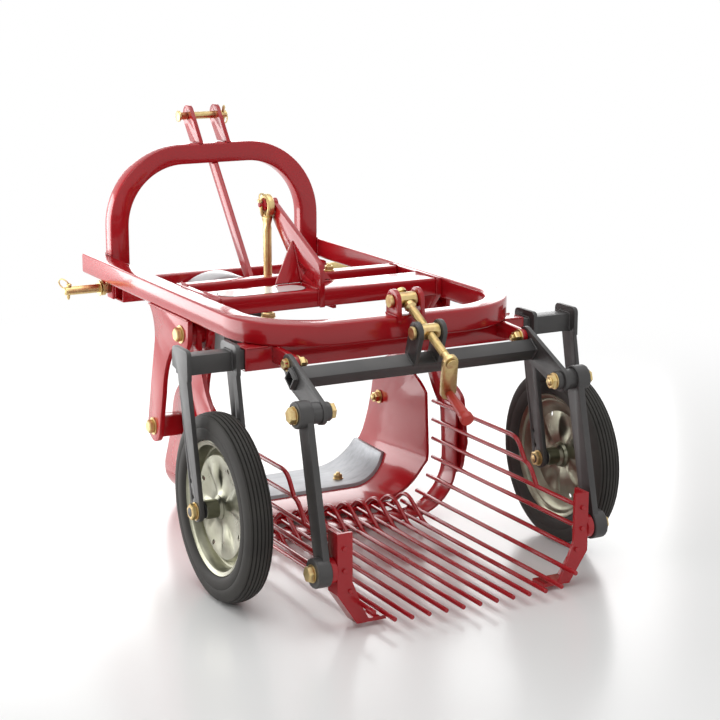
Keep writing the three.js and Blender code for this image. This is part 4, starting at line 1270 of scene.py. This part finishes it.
def sideFasteners():
    for body, bolts in sideBolts.items():
        parts = []
        for side in (-1, 1):
            for kind, x, y, z, way in bolts:
                parts.append(fromPattern(kind, (side * x, y, z), (side * way, 0, 0), 0.25 * side))
        if body == "frame":
            lean = math.radians(wearBolt["tilt"])
            for side in (-1, 1):
                place = (side * wearBolt["x"], wearBolt["y"], wearBolt["z"])
                parts.append(fromPattern("m12_nut", place, (0, math.sin(lean), math.cos(lean)), 0.4))
            for x, y in crossbarNuts:
                parts.append(fromPattern("m12_nut", (x, y, 570), (0, 0, 1), 0.2))
        finish(joinAll(parts), body + "_bolts", body, "yellow_zinc")
    for side, name in ((-1, "left"), (1, "right")):
        bolt = fromPattern("m20_head", (side * 346.2, -265, 125), (side, 0, 0), 0.2)
        finish(bolt, "link_foot_bolt_" + name, "swing_link_" + name, "yellow_zinc")
        collar = stand(disc(20, 13, 0, 1.5), (side * 283.7, -190, 431), (-side, 0, 0))
        finish(collar, "rocker_collar_" + name, "rockshaft", "charcoal_paint")


# Round bosses and rubber bushes at the two ends of each swing link.
linkEnds = {"x": 315.7, "reach": 30.4, "top": (-190, 431, 28), "foot": (-265, 125, 31), "bush": 20}


def swingLinkEnds():
    for side, name in ((-1, "left"), (1, "right")):
        parts, rubbers = [], []
        for y, z, radius in (linkEnds["top"], linkEnds["foot"]):
            reach, bore = linkEnds["reach"], linkEnds["bush"]
            shell = [
                (bore, -0.6), (radius - 2, -0.6), (radius, 1.4), (radius, reach - 3), (radius - 3, reach),
                (bore + 1, reach), (bore, reach - 1), (bore, -0.6),
            ]
            parts.append(stand(turned(shell, 48), (side * linkEnds["x"], y, z), (side, 0, 0)))
            rubber = [
                (10.4, 0), (bore, 0), (bore, reach - 1.4), (14, reach - 0.6), (10.4, reach - 1), (10.4, 0),
            ]
            rubbers.append(stand(turned(rubber, 40), (side * linkEnds["x"], y, z), (side, 0, 0)))
        finish(joinAll(parts), "link_bosses_" + name, "swing_link_" + name, "charcoal_paint")
        finish(joinAll(rubbers), "link_bushes_" + name, "swing_link_" + name, "tyre", bush)


def forkHoles():
    for name in ("left", "right"):
        fork = bpy.data.objects[f"wheel_fork_{name}_steel"]
        holes = [stand(disc(5, 1100, -550, 0.2), (0, y, z), (1, 0, 0)) for y, z in ((23, 259), (14, 227))]
        cutOut(fork, joinAll(holes))


sideFasteners()
swingLinkEnds()
forkHoles()
print("bolts, bushes and holes made")

# Weld beads, each a rippled run between two points. A negative copy is made on the other side where asked.
bead = {"radius": 2.5, "ripple": 0.45, "pitch": 3.2, "seed": 7}
redWeldsBothSides = [
    ((290, 963.5, 523), (290, 963.5, 568)), ((290, 966, 571), (290, 1004, 571)), (
        (340.2, 362, 519.6), (340.2, 590, 519.6),
    ),
    (
        (275.6, 319, 570.4), (275.6, 414, 570.4),
    ), ((275.6, 507, 570.4), (275.6, 543, 570.4)), ((275.4, 315.2, 533), (275.4, 315.2, 568)),
    (
        (43.6, 968, 838.8), (43.6, 1008, 838.8),
    ), ((240, 964.6, 462), (240, 964.6, 517)), ((292, 44.2, 518.6), (338, 44.2, 518.6)),
    ((292, 95.8, 518.6), (338, 95.8, 518.6)),
    (
        (276.4, 20, 519), (276.4, 44, 519),
    ), ((6.8, 743, 511), (6.8, 779, 511)), ((6.6, 968, 787), (6.6, 998, 787)),
]
redWelds = [((x, -30, 571), (x, 17, 571)) for x in (-25.6, -14.4, 30.4, 41.6)]
redWelds += [((x, 320, 571), (x, 400, 571)) for x in (-35.6, -22.4)]
redWelds += [
    ((-41, 399, 571), (-98, 399, 571)), ((-17, 399, 571), (40, 399, 571)),
    ((-35.5, 404, 578), (-35.5, 440, 655)),
]
redWelds += [((x, 314.6, 534), (x, 314.6, 568)) for x in (-35.4, -22.6)]
forkWelds = [((x, y, 476), (x, y, 514)) for x in (360.6, 371.4, 470.6) for y in (49.8, 90.2)]
forkWelds += [((x, 51, 515.4), (x, 89, 515.4)) for x in (360.6, 371.4, 470.6)]
random.seed(bead["seed"])


def weldRun(start, end, radius):
    start, end = Vector(start), Vector(end)
    length = (end - start).length
    runs = max(3, round(length / bead["pitch"]))
    step = length / runs
    profile = [(0, -radius)]
    for i in range(runs):
        size = radius * random.uniform(0.9, 1.12)
        profile += [
            (size - bead["ripple"], i * step), (size, (i + 0.3) * step), (size - 0.1, (i + 0.62) * step),
        ]
    profile += [(radius - bead["ripple"], length), (0, length + radius)]
    return stand(turned(profile, 10, 60), start, end - start)


def mirrored(places):
    return [tuple((side * x, y, z) for x, y, z in pair) for pair in places for side in (-1, 1)]


def weldAll(places, name, body, slot, radius=None):
    runs = [weldRun(a, b, radius or bead["radius"]) for a, b in places]
    finish(joinAll(runs), name, body, slot)


def bandWelds():
    # each rod is tacked to the band at both of its edges
    places = []
    count = sieve["sideRods"]
    span = sieve["floorRods"] * sieve["floorPitch"]
    distances = [i * sieve["floorPitch"] for i in range(-sieve["floorRods"], sieve["floorRods"] + 1)]
    distances += [side * (span + i * sieve["sidePitch"]) for i in range(1, count + 1) for side in (-1, 1)]
    for distance in distances:
        x, z = sievePoint(distance)
        ahead = sievePoint(distance + 1)
        along = Vector((ahead[0] - x, 0, ahead[1] - z)).normalized()
        out = Vector((along.z, 0, -along.x))
        for y in (sieve["bandY"] + 1, sieve["bandY"] + sieve["bandWidth"] - 1):
            middle = Vector((x, y, z)) + out * 4
            places.append((tuple(middle - along * 6), tuple(middle + along * 6)))
    return places


# round the rocker arms, and along the ears of the trunnion
rockTube = {
    "y": -80, "z": 477, "half": 16, "turn": 37.5, "arms": (282.6, 294.6), "ears": (-26.6, -14, 30, 42.6),
}


def rockshaftWelds():
    half, turn = rockTube["half"], math.radians(rockTube["turn"])
    corners = []
    for a, b in ((-1, -1), (1, -1), (1, 1), (-1, 1)):
        y, z = a * half, b * half
        corners.append(
            (
                rockTube["y"] + y * math.cos(turn) - z * math.sin(turn),
                rockTube["z"] + y * math.sin(turn) + z * math.cos(turn),
            ),
        )
    places = []
    for x in rockTube["arms"]:
        for start, end in zip(corners, corners[1:] + corners[:1]):
            places += mirrored([((x, *start), (x, *end))])
    for x in rockTube["ears"]:
        places.append(((x, *corners[3]), (x, *corners[2])))
    return places


weldAll(mirrored(redWeldsBothSides) + redWelds, "frame_welds", "frame", "red_paint")
weldAll(mirrored(forkWelds), "fork_welds", "frame", "charcoal_paint", 2.8)
weldAll(bandWelds(), "sieve_welds", "sieve", "red_paint", 2)
weldAll(rockshaftWelds(), "rockshaft_welds", "rockshaft", "charcoal_paint", 2.4)
print("welds laid")

# Two blank labels on the rear crossbar.
labels = {
    "pill": {"left": -262, "right": -46, "y": 367, "half": 36, "border": 2.4},
    "card": {"left": 72, "right": 178, "rear": 326, "front": 393},
}


def blankLabels():
    pill, card = labels["pill"], labels["card"]
    for name, shrink, height, material in (
        ("label_border", 0, 0.25, bush), ("label_pill", pill["border"], 0.45, film),
    ):
        half = pill["half"] - shrink
        left, right = pill["left"] + pill["half"], pill["right"] - pill["half"]
        outline = arc(right, pill["y"], half, -90, 90, 20) + arc(left, pill["y"], half, 90, 270, 20)
        piece = plate(outline, height, 0)
        piece.location = mm(0, 0, 570)
        finish(piece, name, "frame", "grey_paint", material)
    outline = [
        (card["left"], card["rear"]), (card["right"], card["rear"]), (card["right"], card["front"]),
        (card["left"], card["front"]),
    ]
    piece = plate(outline, 0.4, 0)
    piece.location = mm(0, 0, 570)
    finish(piece, "label_card", "frame", "grey_paint", film)


blankLabels()
print("labels placed")

clearPatterns()

for name, node in cad.items():
    node.data.materials.clear()
    node.data.materials.append(finishes[slotOf[name]])
